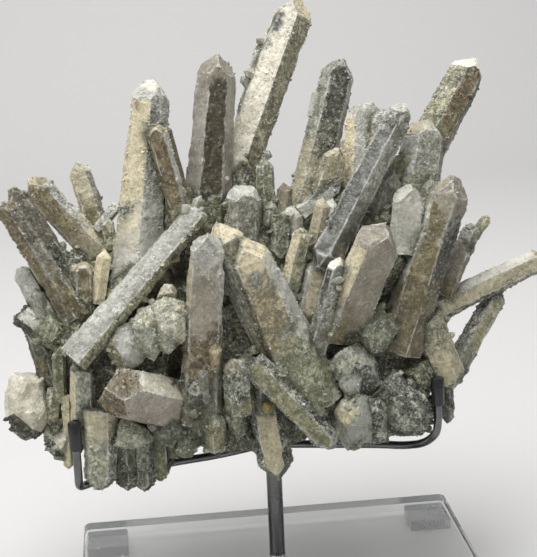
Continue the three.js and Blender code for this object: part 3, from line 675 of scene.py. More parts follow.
class FacetMesher:
    """Meshes every facet again with even triangles that share their points along the creases.

    Args:
        stone: the stone's facets.
        fine: the length of a triangle's side on faces that are seen from the front, in mm.
        coarse: the same on faces that point to the back.
    """

    FAR = 30.0

    def __init__(self, stone: FacetedStone, fine: float, coarse: float) -> None:
        self.stone = stone
        self.steps = [coarse if facet.normal[1] > 0.45 else fine for facet in stone.facets]
        self.points = [point for point in stone.points]
        self.cuts: dict[tuple[int, int], list[int]] = {}

    def build(self) -> SkinMesh:
        """Meshes every facet.

        Returns:
            The whole skin.
        """
        sides = defaultdict(list)
        for (a, b), (first, second, ridge) in self.stone.creases.items():
            self._cut(a, b, min(self.steps[first], self.steps[second]))
            sides[first].append((a, b, ridge))
            sides[second].append((a, b, ridge))
        triangles, facets, gaps = [], [], []
        for number in range(len(self.stone.facets)):
            made, ids, near = self._mesh_facet(number, sides[number])
            triangles.extend(made)
            facets.extend([number] * len(made))
            gaps.append((ids, near))
        points = np.array(self.points)
        ridge = np.full(len(points), self.FAR)
        cleft = np.full(len(points), self.FAR)
        for ids, (to_ridge, to_cleft) in gaps:
            np.minimum.at(ridge, ids, to_ridge)
            np.minimum.at(cleft, ids, to_cleft)
        return SkinMesh(points, np.array(triangles), np.array(facets), ridge, cleft)

    def _cut(self, a: int, b: int, step: float) -> None:
        """Divides one crease evenly.

        Args:
            a: the crease's lower point number.
            b: its higher point number.
            step: the longest piece wanted.
        """
        start, end = self.points[a], self.points[b]
        count = max(1, round(float(np.linalg.norm(end - start)) / step))
        between = []
        for k in range(1, count):
            between.append(len(self.points))
            self.points.append(start + (end - start) * k / count)
        self.cuts[a, b] = [a, *between, b]

    def _mesh_facet(self, number: int, sides: list[tuple[int, int, bool]]) -> tuple:
        """Fills one facet with triangles.

        Args:
            number: the facet.
            sides: the creases round it, and whether each is a ridge.

        Returns:
            Its triangles, its points' numbers, and their distances to ridges and clefts.
        """
        facet = self.stone.facets[number]
        normal = facet.normal
        axis = self.stone.crystals[facet.crystal].axis
        up = axis - (axis @ normal) * normal
        if np.linalg.norm(up) < 0.2:
            up = np.cross(normal, [1.0, 0.3, 0.2])
        up /= np.linalg.norm(up)
        plane = np.array([np.cross(up, normal), up])
        rim, ids, ridges = [], [], []
        for a, b, ridge in sides:
            chain = self.cuts[a, b]
            ids.extend(chain)
            rim.extend(zip(chain, chain[1:]))
            ridges.extend([ridge] * (len(chain) - 1))
        ids = sorted(set(ids))
        place = {point: k for k, point in enumerate(ids)}
        flat = np.array([self.points[k] for k in ids]) @ plane.T
        ends = np.array([(place[a], place[b]) for a, b in rim])
        inner = self._inner_points(flat, ends, self.steps[number], number)
        level = normal @ self.stone.points[self.stone.triangles[facet.triangles[0]][0]]
        for u, v in inner:
            ids.append(len(self.points))
            self.points.append(u * plane[0] + v * plane[1] + level * normal)
        every = np.vstack([flat, inner]).astype(np.float32).astype(float)
        triangles = self._filled(every, ends, ids, plane, level * normal)
        near = self._distances(every, flat[ends], np.array(ridges))
        return triangles, np.array(ids[: len(every)]), near

    @staticmethod
    def _inside(spots: np.ndarray, flat: np.ndarray, ends: np.ndarray) -> np.ndarray:
        """Tells which spots lie inside a rim, by counting the sides to their right.

        Args:
            spots: the spots, in the facet's plane.
            flat: the rim's points in that plane.
            ends: the rim's sides.

        Returns:
            Whether each spot is inside.
        """
        first, second = flat[ends[:, 0]], flat[ends[:, 1]]
        u, v = spots[:, :1], spots[:, 1:]
        spans = (first[:, 1] > v) != (second[:, 1] > v)
        rise = second[:, 1] - first[:, 1]
        rise = np.where(np.abs(rise) < 1e-12, 1e-12, rise)
        meet = first[:, 0] + (v - first[:, 1]) * (second[:, 0] - first[:, 0]) / rise
        return (spans & (u < meet)).sum(axis=1) % 2 == 1

    @staticmethod
    def _to_sides(spots: np.ndarray, segments: np.ndarray) -> np.ndarray:
        """Measures how far each spot is from the nearest of some segments.

        Args:
            spots: the spots, in the facet's plane.
            segments: the two ends of each segment.

        Returns:
            The distances.
        """
        start, along = segments[:, 0], segments[:, 1] - segments[:, 0]
        squared = np.maximum((along**2).sum(axis=1), 1e-12)
        offset = spots[:, None] - start
        share = np.clip((offset * along).sum(axis=2) / squared, 0, 1)
        return np.linalg.norm(offset - share[..., None] * along, axis=2).min(axis=1)

    def _inner_points(self, flat: np.ndarray, ends: np.ndarray, step: float, seed: int) -> np.ndarray:
        """Spreads points evenly inside a rim.

        Args:
            flat: the rim's points in the facet's plane.
            ends: the rim's sides.
            step: the distance between points.
            seed: which random shifts.

        Returns:
            The points, in the facet's plane.
        """
        low, high = flat.min(axis=0), flat.max(axis=0)
        row = step * math.sqrt(3) / 2
        columns = np.arange(low[0] - step, high[0] + step, step)
        rows = np.arange(low[1] - row, high[1] + row, row)
        if len(columns) * len(rows) < 2 or min(high - low) < step:
            return np.empty((0, 2))
        u, v = np.meshgrid(columns, rows)
        u[1::2] += step / 2
        spots = np.column_stack([u.ravel(), v.ravel()])
        cells = np.column_stack([np.arange(len(spots)), np.full(len(spots), seed), np.zeros(len(spots))])
        spots[:, 0] += step * 0.3 * (hashed(cells, 1) - 0.5)
        spots[:, 1] += step * 0.3 * (hashed(cells, 2) - 0.5)
        spots = spots[self._inside(spots, flat, ends)]
        if not len(spots):
            return spots
        return spots[self._to_sides(spots, flat[ends]) > 0.55 * step]

    def _filled(
        self, every: np.ndarray, ends: np.ndarray, ids: list[int], plane: np.ndarray, base: np.ndarray
    ) -> list[tuple[int, int, int]]:
        """Joins a facet's points with triangles.

        Args:
            every: the facet's points in its plane.
            ends: the rim's sides.
            ids: the points' numbers, to which any new ones are added.
            plane: the plane's two directions.
            base: where the plane lies.

        Returns:
            The triangles.
        """
        spots = [Vector(spot) for spot in every]
        made, _, faces, origins, _, _ = delaunay_2d_cdt(spots, ends.tolist(), [], 0, 1e-6)
        numbers = []
        for spot, origin in zip(made, origins):
            if origin:
                numbers.append(ids[origin[0]])
            else:
                numbers.append(len(self.points))
                self.points.append(spot[0] * plane[0] + spot[1] * plane[1] + base)
        corners = np.array([[made[k] for k in face] for face in faces])
        if not len(corners):
            return []
        keep = self._inside(corners.mean(axis=1), every, ends)
        return [tuple(numbers[k] for k in face) for face, kept in zip(faces, keep) if kept]

    def _distances(self, spots: np.ndarray, segments: np.ndarray, ridges: np.ndarray) -> tuple:
        """Measures how far a facet's points are from its ridges and from its clefts.

        Args:
            spots: the points, in the facet's plane.
            segments: the rim's sides.
            ridges: whether each side is a ridge.

        Returns:
            The distances to ridges and those to clefts.
        """
        found = []
        for wanted in (ridges, ~ridges):
            far = np.full(len(spots), self.FAR)
            found.append(self._to_sides(spots, segments[wanted]) if wanted.any() else far)
        return tuple(found)


class StoneSkin:
    """The stone's fine surface: its mesh, its relief and the values that its material reads.

    Args:
        stone: the stone's facets.
        origin: the post's axis at ground level, in mm.
    """

    FINE = 2.3
    COARSE = 3.4
    # Painted shade: from the upper height down to the lower, in mm above the ground, the stone's colours
    # darken more and more, by up to these shares of each part.
    LOW_PAINTED_SHADE_HEIGHTS = (110.0, 270.0)
    LOW_PAINTED_SHADE = (0.31, 0.28, 0.32)

    def __init__(self, stone: FacetedStone, origin: np.ndarray) -> None:
        self.stone = stone
        self.origin = origin
        self.mesh = FacetMesher(stone, self.FINE, self.COARSE).build()
        self._dress()
        self._raise_relief()

    def _dress(self) -> None:
        """Gives each corner of each triangle its colours and finish."""
        mesh = self.mesh
        corners = mesh.points[mesh.triangles].reshape(-1, 3)
        facet_of = np.repeat(mesh.facets, 3)
        patch = soft_noise(corners, 14.0, 5) * 0.6 + soft_noise(corners, 5.0, 6) * 0.4
        looks = [self._looks(facet) for facet in self.stone.facets]
        first = np.array([look_values(pair[0]) for pair in looks])[facet_of]
        second = np.array([look_values(pair[1]) for pair in looks])[facet_of]
        crystals = self.stone.crystals
        axis = np.array([c.axis for c in crystals])
        low = np.array([c.low for c in crystals])
        high = np.array([c.high for c in crystals])
        crystal_of = np.array([facet.crystal for facet in self.stone.facets])[facet_of]
        along = (corners * axis[crystal_of]).sum(axis=1)
        share = (along - low[crystal_of]) / np.maximum(high - low, 1.0)[crystal_of]
        rooted = 1 - smoothstep(share + 0.25 * patch, 0.15, 0.5)
        values = first + (second - first) * rooted[:, None]
        torn = 0.55 * soft_noise(corners, 6.0, 26) + 0.45 * soft_noise(corners, 2.6, 27)
        for stain in STAINS:
            offset = corners - self.origin - np.array(stain.place, float)
            reach = np.linalg.norm(offset, axis=1) / stain.radius
            there = 1 - smoothstep(reach + torn, 0.6, 1.1)
            values += (np.array(look_values(stain.look)) - values) * there[:, None]
        grown = 1 - smoothstep(mesh.cleft[mesh.triangles].ravel() + 5 * patch, 1.0, 7.0)
        grown *= np.array([0.0 if crystal.lump else 0.7 for crystal in crystals])[crystal_of]
        values += (np.array(look_values(Look.SAGE)) - values) * grown[:, None]
        # Painted shade: the colours are darker towards the ground.
        deep = 1 - smoothstep(corners[:, 2], *self.LOW_PAINTED_SHADE_HEIGHTS)
        values[:, :6] *= 1 - deep[:, None] * np.array(self.LOW_PAINTED_SHADE * 2)
        self.colours = values[:, :3]
        self.coats = values[:, 3:7]
        self.finish = values[:, 7:]
        self.crystal_of = crystal_of
        self.along = along
        across = np.cross(axis[crystal_of], [0.0, 1.0, 0.3])
        self.grain = np.column_stack([(corners * across).sum(axis=1), along, crystal_of * GRAIN_STEP])

    def _looks(self, facet: Facet) -> tuple[Look, Look]:
        """Picks a facet's look from the way that it points.

        Args:
            facet: the facet.

        Returns:
            Its look, and its look near the root.
        """
        crystal = self.stone.crystals[facet.crystal]
        dressing = crystal.dressing
        if dressing.end and not crystal.lump and facet.normal @ crystal.axis > 0.35:
            return dressing.end, dressing.end
        look = dressing.front
        sides = (
            (dressing.top, facet.normal[2] > 0.5),
            (dressing.under, facet.normal[2] < -0.4),
            (dressing.left, facet.normal[0] < -0.42),
            (dressing.right, facet.normal[0] > 0.42),
        )
        for side, faces_it in sides:
            if side and faces_it:
                return side, dressing.low or side
        return look, dressing.low or look

    def _raise_relief(self) -> None:
        """Moves the points for crust, growth ledges and chipped ridges."""
        mesh = self.mesh
        flat = np.array([facet.normal for facet in self.stone.facets])[mesh.facets]
        normals = np.zeros_like(mesh.points)
        count = np.zeros(len(mesh.points))
        crust = np.zeros(len(mesh.points))
        along = np.zeros(len(mesh.points))
        lumpy = np.zeros(len(mesh.points))
        lumps = np.array([float(crystal.lump) for crystal in self.stone.crystals])[self.crystal_of]
        for corner in range(3):
            ids = mesh.triangles[:, corner]
            np.add.at(normals, ids, flat)
            np.add.at(count, ids, 1)
            np.add.at(crust, ids, self.finish[corner::3, 0])
            np.add.at(along, ids, self.along[corner::3])
            np.maximum.at(lumpy, ids, lumps[corner::3])
        normals /= np.maximum(np.linalg.norm(normals, axis=1), 1e-9)[:, None]
        crust /= np.maximum(count, 1)
        along /= np.maximum(count, 1)
        points = mesh.points
        grains = 0.5 * soft_noise(points, 3.2, 11) + 0.55 * soft_noise(points, 6.5, 12)
        grains += 0.6 * np.abs(soft_noise(points, 4.2, 13))
        wave = 0.4 * soft_noise(points, 15.0, 14) + 0.3 * soft_noise(points, 7.0, 18)
        steps = np.column_stack([along / 4.0, points[:, 0] / 30, points[:, 2] / 30])
        ledge = 0.3 * np.round(1.6 * soft_noise(steps, 1.0, 15)) / 1.6
        relief = (0.15 + crust) * grains * 0.9 + wave + (1 - 0.5 * crust) * ledge
        relief += lumpy * (2.0 * soft_noise(points, 11.0, 24) + 1.0 * soft_noise(points, 5.0, 25))
        chip = smoothstep(soft_noise(points, 6.0, 16) + 0.5 * soft_noise(points, 2.4, 17), 0.0, 0.8)
        near_ridge = 1 - smoothstep(mesh.ridge, 0.3, 3.4)
        relief -= near_ridge * (0.35 + 1.3 * chip)
        grown = (1 - smoothstep(mesh.cleft, 0.0, 6.0)) * (0.7 + 1.1 * soft_noise(points, 5.0, 20))
        relief = relief * smoothstep(mesh.cleft, -1.0, 5.0) + grown
        self.edge = np.clip(mesh.ridge / 10 + lumpy, 0, 1)
        self.near_ridge = near_ridge
        self.near_cleft = 1 - smoothstep(mesh.cleft, 0.0, 5.0)
        self.crust = crust
        self.normals = normals
        mesh.points = points + normals * relief[:, None]

    def build(self) -> Piece:
        """Makes the skin's object.

        Returns:
            The object, with the values that its material reads on its mesh.
        """
        mesh = self.mesh
        piece = new_mesh_object("quartz_crystals", mesh.points * MM, mesh.triangles)
        data = piece.data
        write_looks(data, np.hstack([self.colours, self.coats, self.finish]), self.grain)
        for name, values in (("edge", self.edge), ("ridge", self.near_ridge), ("cleft", self.near_cleft)):
            write_point_values(data, name, values)
        return piece


# ---------------------------------------------------------------- meshes in general


def new_mesh_object(name: str, points: np.ndarray, faces: np.ndarray) -> Piece:
    """Makes a flat-shaded object from arrays.

    Args:
        name: the object's name.
        points: its points in metres.
        faces: its faces, all with one number of corners.

    Returns:
        The object, linked to the scene.
    """
    mesh = bpy.data.meshes.new(name)
    mesh.from_pydata(points.tolist(), [], faces.tolist())
    mesh.polygons.foreach_set("use_smooth", [False] * len(mesh.polygons))
    mesh.update()
    return link_object(name, mesh)


def link_object(name: str, data: bpy.types.ID) -> Piece:
    """Puts new object data in the scene.

    Args:
        name: the object's name.
        data: its mesh, light or camera.

    Returns:
        The object.
    """
    piece = bpy.data.objects.new(name, data)
    bpy.context.scene.collection.objects.link(piece)
    return piece


def write_corner_colours(mesh: bpy.types.Mesh, name: str, values: np.ndarray) -> None:
    """Keeps four numbers for each corner of a mesh's faces.

    Args:
        mesh: the mesh.
        name: the layer's name.
        values: one row of four numbers for each corner.
    """
    layer = mesh.color_attributes.new(name, "FLOAT_COLOR", "CORNER")
    layer.data.foreach_set("color", values.astype(np.float32).ravel())


def write_looks(mesh: bpy.types.Mesh, values: np.ndarray, grain: np.ndarray) -> None:
    """Keeps what the stone's material reads for each corner of a mesh's faces.

    Args:
        mesh: the mesh.
        values: a row for each corner, in the order of look_values.
        grain: where each corner lies in the pattern of growth lines.
    """
    write_corner_colours(mesh, "tint", np.column_stack([values[:, :3], np.ones(len(values))]))
    write_corner_colours(mesh, "coat", values[:, 3:7])
    write_corner_colours(mesh, "finish", values[:, 7:])
    layer = mesh.attributes.new("grain", "FLOAT_VECTOR", "CORNER")
    layer.data.foreach_set("vector", grain.astype(np.float32).ravel())


def write_point_values(mesh: bpy.types.Mesh, name: str, values: np.ndarray) -> None:
    """Keeps one number for each point of a mesh.

    Args:
        mesh: the mesh.
        name: the layer's name.
        values: the numbers.
    """
    layer = mesh.attributes.new(name, "FLOAT", "POINT")
    layer.data.foreach_set("value", values.astype(np.float32))


def finished(piece: Piece, material: Material, slot: str, *nodes: str) -> None:
    """Dresses a piece and fixes it to the part.

    Args:
        piece: the new piece.
        material: its material.
        slot: not used.
        nodes: the solids that it stands for.
    """
    piece.data.materials.clear()
    piece.data.materials.append(material)
    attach(piece, "root")
    if nodes:
        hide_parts(*nodes)


# ---------------------------------------------------------------- small crystals and druse


@dataclass
class Sprout:
    """One small crystal.

    Attributes:
        foot: its foot in mm, inside the stone.
        tip: its tip in mm.
        width: its width in mm.
        turn: how far it is turned round its own axis, in radians.
        values: its colour, its coat's colour and cover, and its finish, as look_values lists them.
    """

    foot: np.ndarray
    tip: np.ndarray
    width: float
    turn: float
    values: np.ndarray


class SmallCrystals:
    """The slender and small crystals that stand between the big ones.

    Args:
        skin: the stone's fine surface.
        origin: the post's axis at ground level, in mm.
    """

    SIDES = 6
    STEP = 2.5
    SCATTERED = 600
    NESTED = 260
    SLENDER = (
        ((-58, -22, 330), (-71, -20, 392), 9, Look.BROWN),
        ((-127, 0, 312), (-109, 0, 332), 9, Look.FROST),
        ((-16, 18, 364), (12, 20, 357), 9, Look.FROST),
        ((44, 20, 386), (50, 26, 407), 9, Look.PALE),
        ((48, -12, 328), (52, -9, 348), 7, Look.PALE),
        ((34, -40, 300), (43, -38, 334), 12, Look.BEIGE),
        ((42, -38, 306), (50, -36, 333), 11, Look.PALE),
        ((-55, -68, 192), (-56, -80, 221), 8, Look.GREY),
        ((-158, -50, 198), (-161, -50, 139), 8, Look.CREAM),
        ((-116, -8, 298), (-119, -5, 322), 10, Look.CREAM_GRAIN),
        ((14, -20, 312), (16, -15, 343), 12, Look.SMOKY),
        ((-48, -62, 205), (-45, -73, 237), 11, Look.TAN),
        ((-171, -34, 246), (-175, -32, 279), 12, Look.GREY),
        ((-163, -48, 193), (-161, -50, 238), 12, Look.GREEN),
        ((-166, -44, 202), (-172, -46, 172), 12, Look.CREAM_GRAIN),
        ((-130, -30, 262), (-121, -23, 302), 12, Look.CREAM),
        ((-152, -40, 232), (-154, -36, 260), 11, Look.SMOKY),
        ((-9, -66, 183), (-9, -77, 187), 10, Look.GOLD),
    )

    def __init__(self, skin: StoneSkin, origin: np.ndarray) -> None:
        self.skin = skin
        self.origin = origin
        self.random = np.random.default_rng(7)

    def _typed(self) -> list[Sprout]:
        """Lists the slender crystals that have places of their own.

        Returns:
            The crystals.
        """
        sprouts = []
        for foot, tip, width, look in self.SLENDER:
            ends = self.origin + np.array(foot, float), self.origin + np.array(tip, float)
            turn = self.random.uniform(0, 1)
            sprouts.append(Sprout(*ends, width, turn, np.array(look_values(look))))
        return sprouts

    def _scattered(self) -> list[Sprout]:
        """Scatters small blocky crystals over the stone's rough parts, and bigger ones in its clefts.

        Returns:
            The crystals.
        """
        skin, mesh = self.skin, self.skin.mesh
        rough = skin.finish[:, 0].reshape(-1, 3).mean(axis=1)
        cleft = skin.near_cleft[mesh.triangles].mean(axis=1)
        corners = mesh.points[mesh.triangles].mean(axis=1)
        patch = smoothstep(soft_noise(corners, 16.0, 33), -0.2, 0.5)
        lumps = np.array([crystal.lump for crystal in skin.stone.crystals])[skin.crystal_of[::3]]
        centre = self.origin + np.array([-8.0, 0.0, 235.0])
        sprouts = []
        for count, weights, thick, slim in (
            (self.SCATTERED, rough**2 * patch * np.where(lumps, 1.0, 0.15), (2.5, 6.0), (0.5, 1.3)),
            (self.NESTED, (0.2 + patch) * cleft * np.where(lumps, 0.6, 1.0), (4.0, 9.0), (0.5, 1.2)),
        ):
            spots, normals, chosen = pick_spots(mesh, weights, count, self.random)
            for spot, normal, triangle in zip(spots, normals, chosen):
                outward = (spot - centre) / np.linalg.norm(spot - centre)
                along = normal * 0.6 + outward * 0.7 + self.random.normal(0, 0.45, 3)
                along /= np.linalg.norm(along)
                width = self.random.uniform(*thick)
                length = width * self.random.uniform(*slim)
                parts = skin.colours, skin.coats, skin.finish
                values = np.concatenate([part[3 * triangle] for part in parts])
                values[:6] *= self.random.uniform(0.7, 1.35)
                values[7] *= 0.6
                ends = spot - along * width * 0.8, spot + along * length
                sprouts.append(Sprout(*ends, width, self.random.uniform(0, 1), values))
        return sprouts

    def build(self) -> Piece:
        """Makes one mesh of all the small crystals.

        Returns:
            The object, with the values that the stone's material reads.
        """
        points, faces, values, grains, ridges = [], [], [], [], []
        count = 0
        for number, sprout in enumerate(self._typed() + self._scattered()):
            made, triangles, grain, ridge = self._prism(sprout, number)
            points.append(made)
            faces.append(triangles + count)
            ridges.append(ridge)
            count += len(made)
            values.append(np.tile(sprout.values, (triangles.size, 1)))
            grains.append(grain[triangles.ravel()])
        piece = new_mesh_object("quartz_small_crystals", np.vstack(points) * MM, np.vstack(faces))
        write_looks(piece.data, np.vstack(values), np.vstack(grains))
        for name in ("edge", "ridge"):
            write_point_values(piece.data, name, np.concatenate(ridges))
        return piece

    def _prism(self, sprout: Sprout, number: int) -> tuple:
        """Builds one crystal: a six-sided prism under an uneven six-sided point.

        Args:
            sprout: its size, place and finish.
            number: its number among the small crystals.

        Returns:
            Its points, its triangles, its grain vectors and how near each point is to a ridge.
        """
        along = sprout.tip - sprout.foot
        length = float(np.linalg.norm(along))
        along /= length
        first = np.cross(along, [0.3, 0.9, 0.2])
        first /= np.linalg.norm(first)
        second = np.cross(along, first)
        radius = sprout.width / 2
        body = max(length - 0.5 * sprout.width, 0.62 * length)
        rings = max(2, round(body / self.STEP) + 1)
        angles = sprout.turn + np.arange(self.SIDES) * math.tau / self.SIDES
        radii = radius * self.random.uniform(0.82, 1.12, self.SIDES)
        tops = body + self.random.uniform(-0.3, 0.3, self.SIDES) * radius
        rim = np.cos(angles)[:, None] * first + np.sin(angles)[:, None] * second
        levels = np.linspace(0, 1, rings)[:, None] * tops
        points = sprout.foot + levels[..., None] * along + (radii[:, None] * rim)[None]
        points = points.reshape(-1, 3)
        points += rim[np.tile(np.arange(self.SIDES), rings)] * (0.25 * soft_noise(points, 3.0, 31))[:, None]
        lean = (first * self.random.uniform(-0.3, 0.3) + second * self.random.uniform(-0.3, 0.3)) * radius
        points = np.vstack([points, sprout.foot, sprout.tip + lean])
        start, end = len(points) - 2, len(points) - 1
        triangles = []
        for ring in range(rings - 1):
            for side in range(self.SIDES):
                a = ring * self.SIDES + side
                b = ring * self.SIDES + (side + 1) % self.SIDES
                triangles += [(a, b, b + self.SIDES), (a, b + self.SIDES, a + self.SIDES)]
        last = (rings - 1) * self.SIDES
        for side in range(self.SIDES):
            following = (side + 1) % self.SIDES
            triangles += [(side, start, following), (last + side, last + following, end)]
        across = np.tile(np.arange(self.SIDES) * sprout.width, rings)
        grain = np.zeros((len(points), 3))
        grain[:-2, 0] = across
        grain[:, 1] = points @ along
        grain[:, 2] = number * GRAIN_STEP + 3.0
        return points, np.array(triangles), grain, np.full(len(points), 0.4)


def pick_spots(mesh: SkinMesh, weights: np.ndarray, count: int, random: np.random.Generator) -> tuple:
    """Picks random spots on a mesh.

    Args:
        mesh: the mesh.
        weights: how thickly each triangle is covered.
        count: how many spots.
        random: where random numbers come from.

    Returns:
        The spots, the directions there, and the triangles that they are on.
    """
    corners = mesh.points[mesh.triangles]
    cross = np.cross(corners[:, 1] - corners[:, 0], corners[:, 2] - corners[:, 0])
    size = np.linalg.norm(cross, axis=1)
    share = size * weights
    chosen = random.choice(len(size), count, p=share / share.sum())
    a, b = random.uniform(0, 1, (2, count))
    a, b = np.where(a + b > 1, 1 - a, a), np.where(a + b > 1, 1 - b, b)
    picked = corners[chosen]
    first, second, third = picked[:, 0], picked[:, 1], picked[:, 2]
    spots = first + a[:, None] * (second - first) + b[:, None] * (third - first)
    return spots, cross[chosen] / np.maximum(size[chosen], 1e-9)[:, None], chosen


class Druse:
    """The coat of tiny crystals on the stone's rough faces.

    Args:
        skin: the stone's fine surface.
    """

    COUNT = 76000
    PIECES = 4
    SIDES = 4

    def __init__(self, skin: StoneSkin) -> None:
        self.skin = skin
        self.random = np.random.default_rng(19)

    def _weights(self) -> np.ndarray:
        """Decides how thickly each triangle of the skin is covered.

        Returns:
            One weight for each triangle.
        """
        skin, mesh = self.skin, self.skin.mesh
        crust = skin.finish[:, 0].reshape(-1, 3).mean(axis=1)
        normals = np.array([facet.normal for facet in skin.stone.facets])[mesh.facets]
        corners = mesh.points[mesh.triangles].mean(axis=1)
        patch = smoothstep(soft_noise(corners, 11.0, 21) + 0.6 * soft_noise(corners, 4.0, 22), -0.1, 0.5)
        ridge = skin.near_ridge[mesh.triangles].mean(axis=1)
        cleft = skin.near_cleft[mesh.triangles].mean(axis=1)
        weights = crust**1.5 * (0.12 + patch) + ridge * patch * (0.45 + crust) + 0.3 * cleft * (0.3 + patch)
        return weights * np.where(normals[:, 1] > 0.4, 0.45, 1.0)

    def build(self) -> list[Piece]:
        """Makes the coat in a few pieces.

        Returns:
            The pieces, each with its colour on its mesh.
        """
        skin = self.skin
        spots, facing, chosen = pick_spots(skin.mesh, self._weights(), self.COUNT, self.random)
        along = facing + self.random.normal(0, 0.6, facing.shape)
        along /= np.linalg.norm(along, axis=1)[:, None]
        swell = 1 + 0.5 * soft_noise(spots, 8.0, 23)
        radius = (self.random.gamma(3.0, 0.12, self.COUNT) + 0.2) * swell
        length = radius * self.random.uniform(0.6, 1.6, self.COUNT)
        tint = self.random.uniform(0.72, 1.25, self.COUNT)
        share = skin.coats[3 * chosen, 3:4] * self.random.uniform(0.4, 1.6, (self.COUNT, 1))
        share = np.clip(share, 0, 1)
        colours = skin.colours[3 * chosen] * (1 - share) + skin.coats[3 * chosen, :3] * share
        colours *= tint[:, None]
        white = self.random.uniform(0, 1, self.COUNT) < 0.16
        colours[white] = colours[white] * 0.4 + 0.45
        pieces = []
        for part in range(self.PIECES):
            own = slice(part, None, self.PIECES)
            grown = self._grown(spots[own], along[own], radius[own], length[own])
            piece = new_mesh_object(f"quartz_druse_{part + 1}", grown[0] * MM, grown[1])
            layer = np.column_stack([colours[own], np.ones(len(colours[own]))])
            write_corner_colours(piece.data, "tint", np.repeat(layer, 6 * self.SIDES, axis=0))
            pieces.append(piece)
        return pieces

    def _grown(self, spots: np.ndarray, along: np.ndarray, radius: np.ndarray, length: np.ndarray) -> tuple:
        """Builds tiny crystals pointed at both ends.

        Args:
            spots: where they stand.
            along: the directions they point in.
            radius: their radii.
            length: how far each stands out.

        Returns:
            Their points and triangles.
        """
        sides, count = self.SIDES, len(spots)
        first = np.cross(along, [0.31, 0.87, 0.39])
        first /= np.linalg.norm(first, axis=1)[:, None]
        second = np.cross(along, first)
        angles = np.arange(sides) * math.tau / sides + self.random.uniform(0, 3, (count, 1))
        radii = radius[:, None] * self.random.uniform(0.7, 1.2, (count, sides))
        across = (np.cos(angles) * radii)[..., None] * first[:, None]
        across += (np.sin(angles) * radii)[..., None] * second[:, None]
        middle = spots + along * (length * self.random.uniform(0.1, 0.5, count))[:, None]
        points = np.empty((count, sides + 2, 3))
        points[:, :sides] = middle[:, None] + across
        points[:, sides] = spots - along * (length * 0.6)[:, None]
        points[:, sides + 1] = spots + along * length[:, None]
        pattern = [(k, (k + 1) % sides, sides + 1) for k in range(sides)]
        pattern += [((k + 1) % sides, k, sides) for k in range(sides)]
        faces = np.array(pattern)[None] + (sides + 2) * np.arange(count)[:, None, None]
        return points.reshape(-1, 3), faces.reshape(-1, 3)


# ---------------------------------------------------------------- shader nodes


class Graph:
    """Adds nodes to a node tree.

    Args:
        tree: the tree.
    """

    def __init__(self, tree: bpy.types.NodeTree) -> None:
        self.tree = tree

    def node(self, kind: str, inputs: dict | None = None, **settings: object) -> bpy.types.Node:
        """Adds a node.

        Args:
            kind: the node's type, without its ShaderNode prefix.
            inputs: a value or another node's output for each named or numbered input.
            settings: the node's own settings.

        Returns:
            The node.
        """
        made = self.tree.nodes.new("ShaderNode" + kind)
        for name, value in settings.items():
            setattr(made, name, value)
        for key, value in (inputs or {}).items():
            self.set(made.inputs[key], value)
        return made

    def set(self, socket: Socket, value: object) -> None:
        """Links an output to an input, or sets the input to a plain value.

        Args:
            socket: the input.
            value: another node's output, or the value.
        """
        if isinstance(value, Socket):
            self.tree.links.new(value, socket)
        else:
            socket.default_value = value

    def math(self, operation: str, *values: object, clamp: bool = False) -> Socket:
        """Adds a maths node.

        Args:
            operation: what it does.
            values: its inputs.
            clamp: whether the result is kept from 0 to 1.

        Returns:
            Its output.
        """
        made = self.node("Math", dict(enumerate(values)), operation=operation, use_clamp=clamp)
        return made.outputs[0]

    def blend(self, factor: object, first: object, second: object, mode: str = "MIX") -> Socket:
        """Mixes two colours.

        Args:
            factor: the second one's share.
            first: the first colour.
            second: the second colour.
            mode: how they are mixed.

        Returns:
            The result.
        """
        made = self.node("Mix", data_type="RGBA", blend_type=mode)
        for key, value in zip((0, 6, 7), (factor, first, second)):
            self.set(made.inputs[key], value)
        return made.outputs[2]

    def ramp(self, value: object, low: float, high: float, start: float = 0.0, end: float = 1.0) -> Socket:
        """Runs from start to end as a value goes from low to high, smoothly.

        Args:
            value: the value.
            low: where it starts.
            high: where it ends.
            start: the result up to low.
            end: the result from high on.

        Returns:
            The result.
        """
        inputs = {0: value, 1: low, 2: high, 3: start, 4: end}
        return self.node("MapRange", inputs, interpolation_type="SMOOTHSTEP").outputs[0]

    def noise(self, vector: object, scale: float, detail: float = 3.0, roughness: float = 0.5) -> Socket:
        """Adds a noise texture.

        Args:
            vector: where it is read.
            scale: how fine it is.
            detail: how many finer layers it has.
            roughness: how strong those are.

        Returns:
            Its height.
        """
        inputs = {"Vector": vector, "Scale": scale, "Detail": detail, "Roughness": roughness}
        return self.node("TexNoise", inputs).outputs[0]

    def stretched(self, vector: object, scale: float, detail: float) -> Socket:
        """Stretches a place unevenly, by one plus a noise colour.

        Args:
            vector: the place.
            scale: how fine the noise is.
            detail: how many finer layers it has.

        Returns:
            The stretched place.
        """
        drift = self.node("TexNoise", {"Vector": vector, "Scale": scale, "Detail": detail})
        inputs = {0: drift.outputs["Color"], 1: vector, 2: vector}
        return self.node("VectorMath", inputs, operation="MULTIPLY_ADD").outputs[0]

    def attribute(self, name: str, output: str) -> Socket:
        """Reads a value that a mesh keeps under a name."""
        return self.node("Attribute", attribute_name=name).outputs[output]


def new_group(name: str, inputs: dict[str, str], outputs: dict[str, str]) -> tuple:
    """Starts a node group.

    Args:
        name: the group's name.
        inputs: the kind of each named input.
        outputs: the kind of each named output.

    Returns:
        The group, its graph, its input node and its output node.
    """
    tree = bpy.data.node_groups.new(name, "ShaderNodeTree")
    for side, sockets in (("INPUT", inputs), ("OUTPUT", outputs)):
        for socket, kind in sockets.items():
            tree.interface.new_socket(socket, in_out=side, socket_type="NodeSocket" + kind)
    return tree, Graph(tree), tree.nodes.new("NodeGroupInput"), tree.nodes.new("NodeGroupOutput")


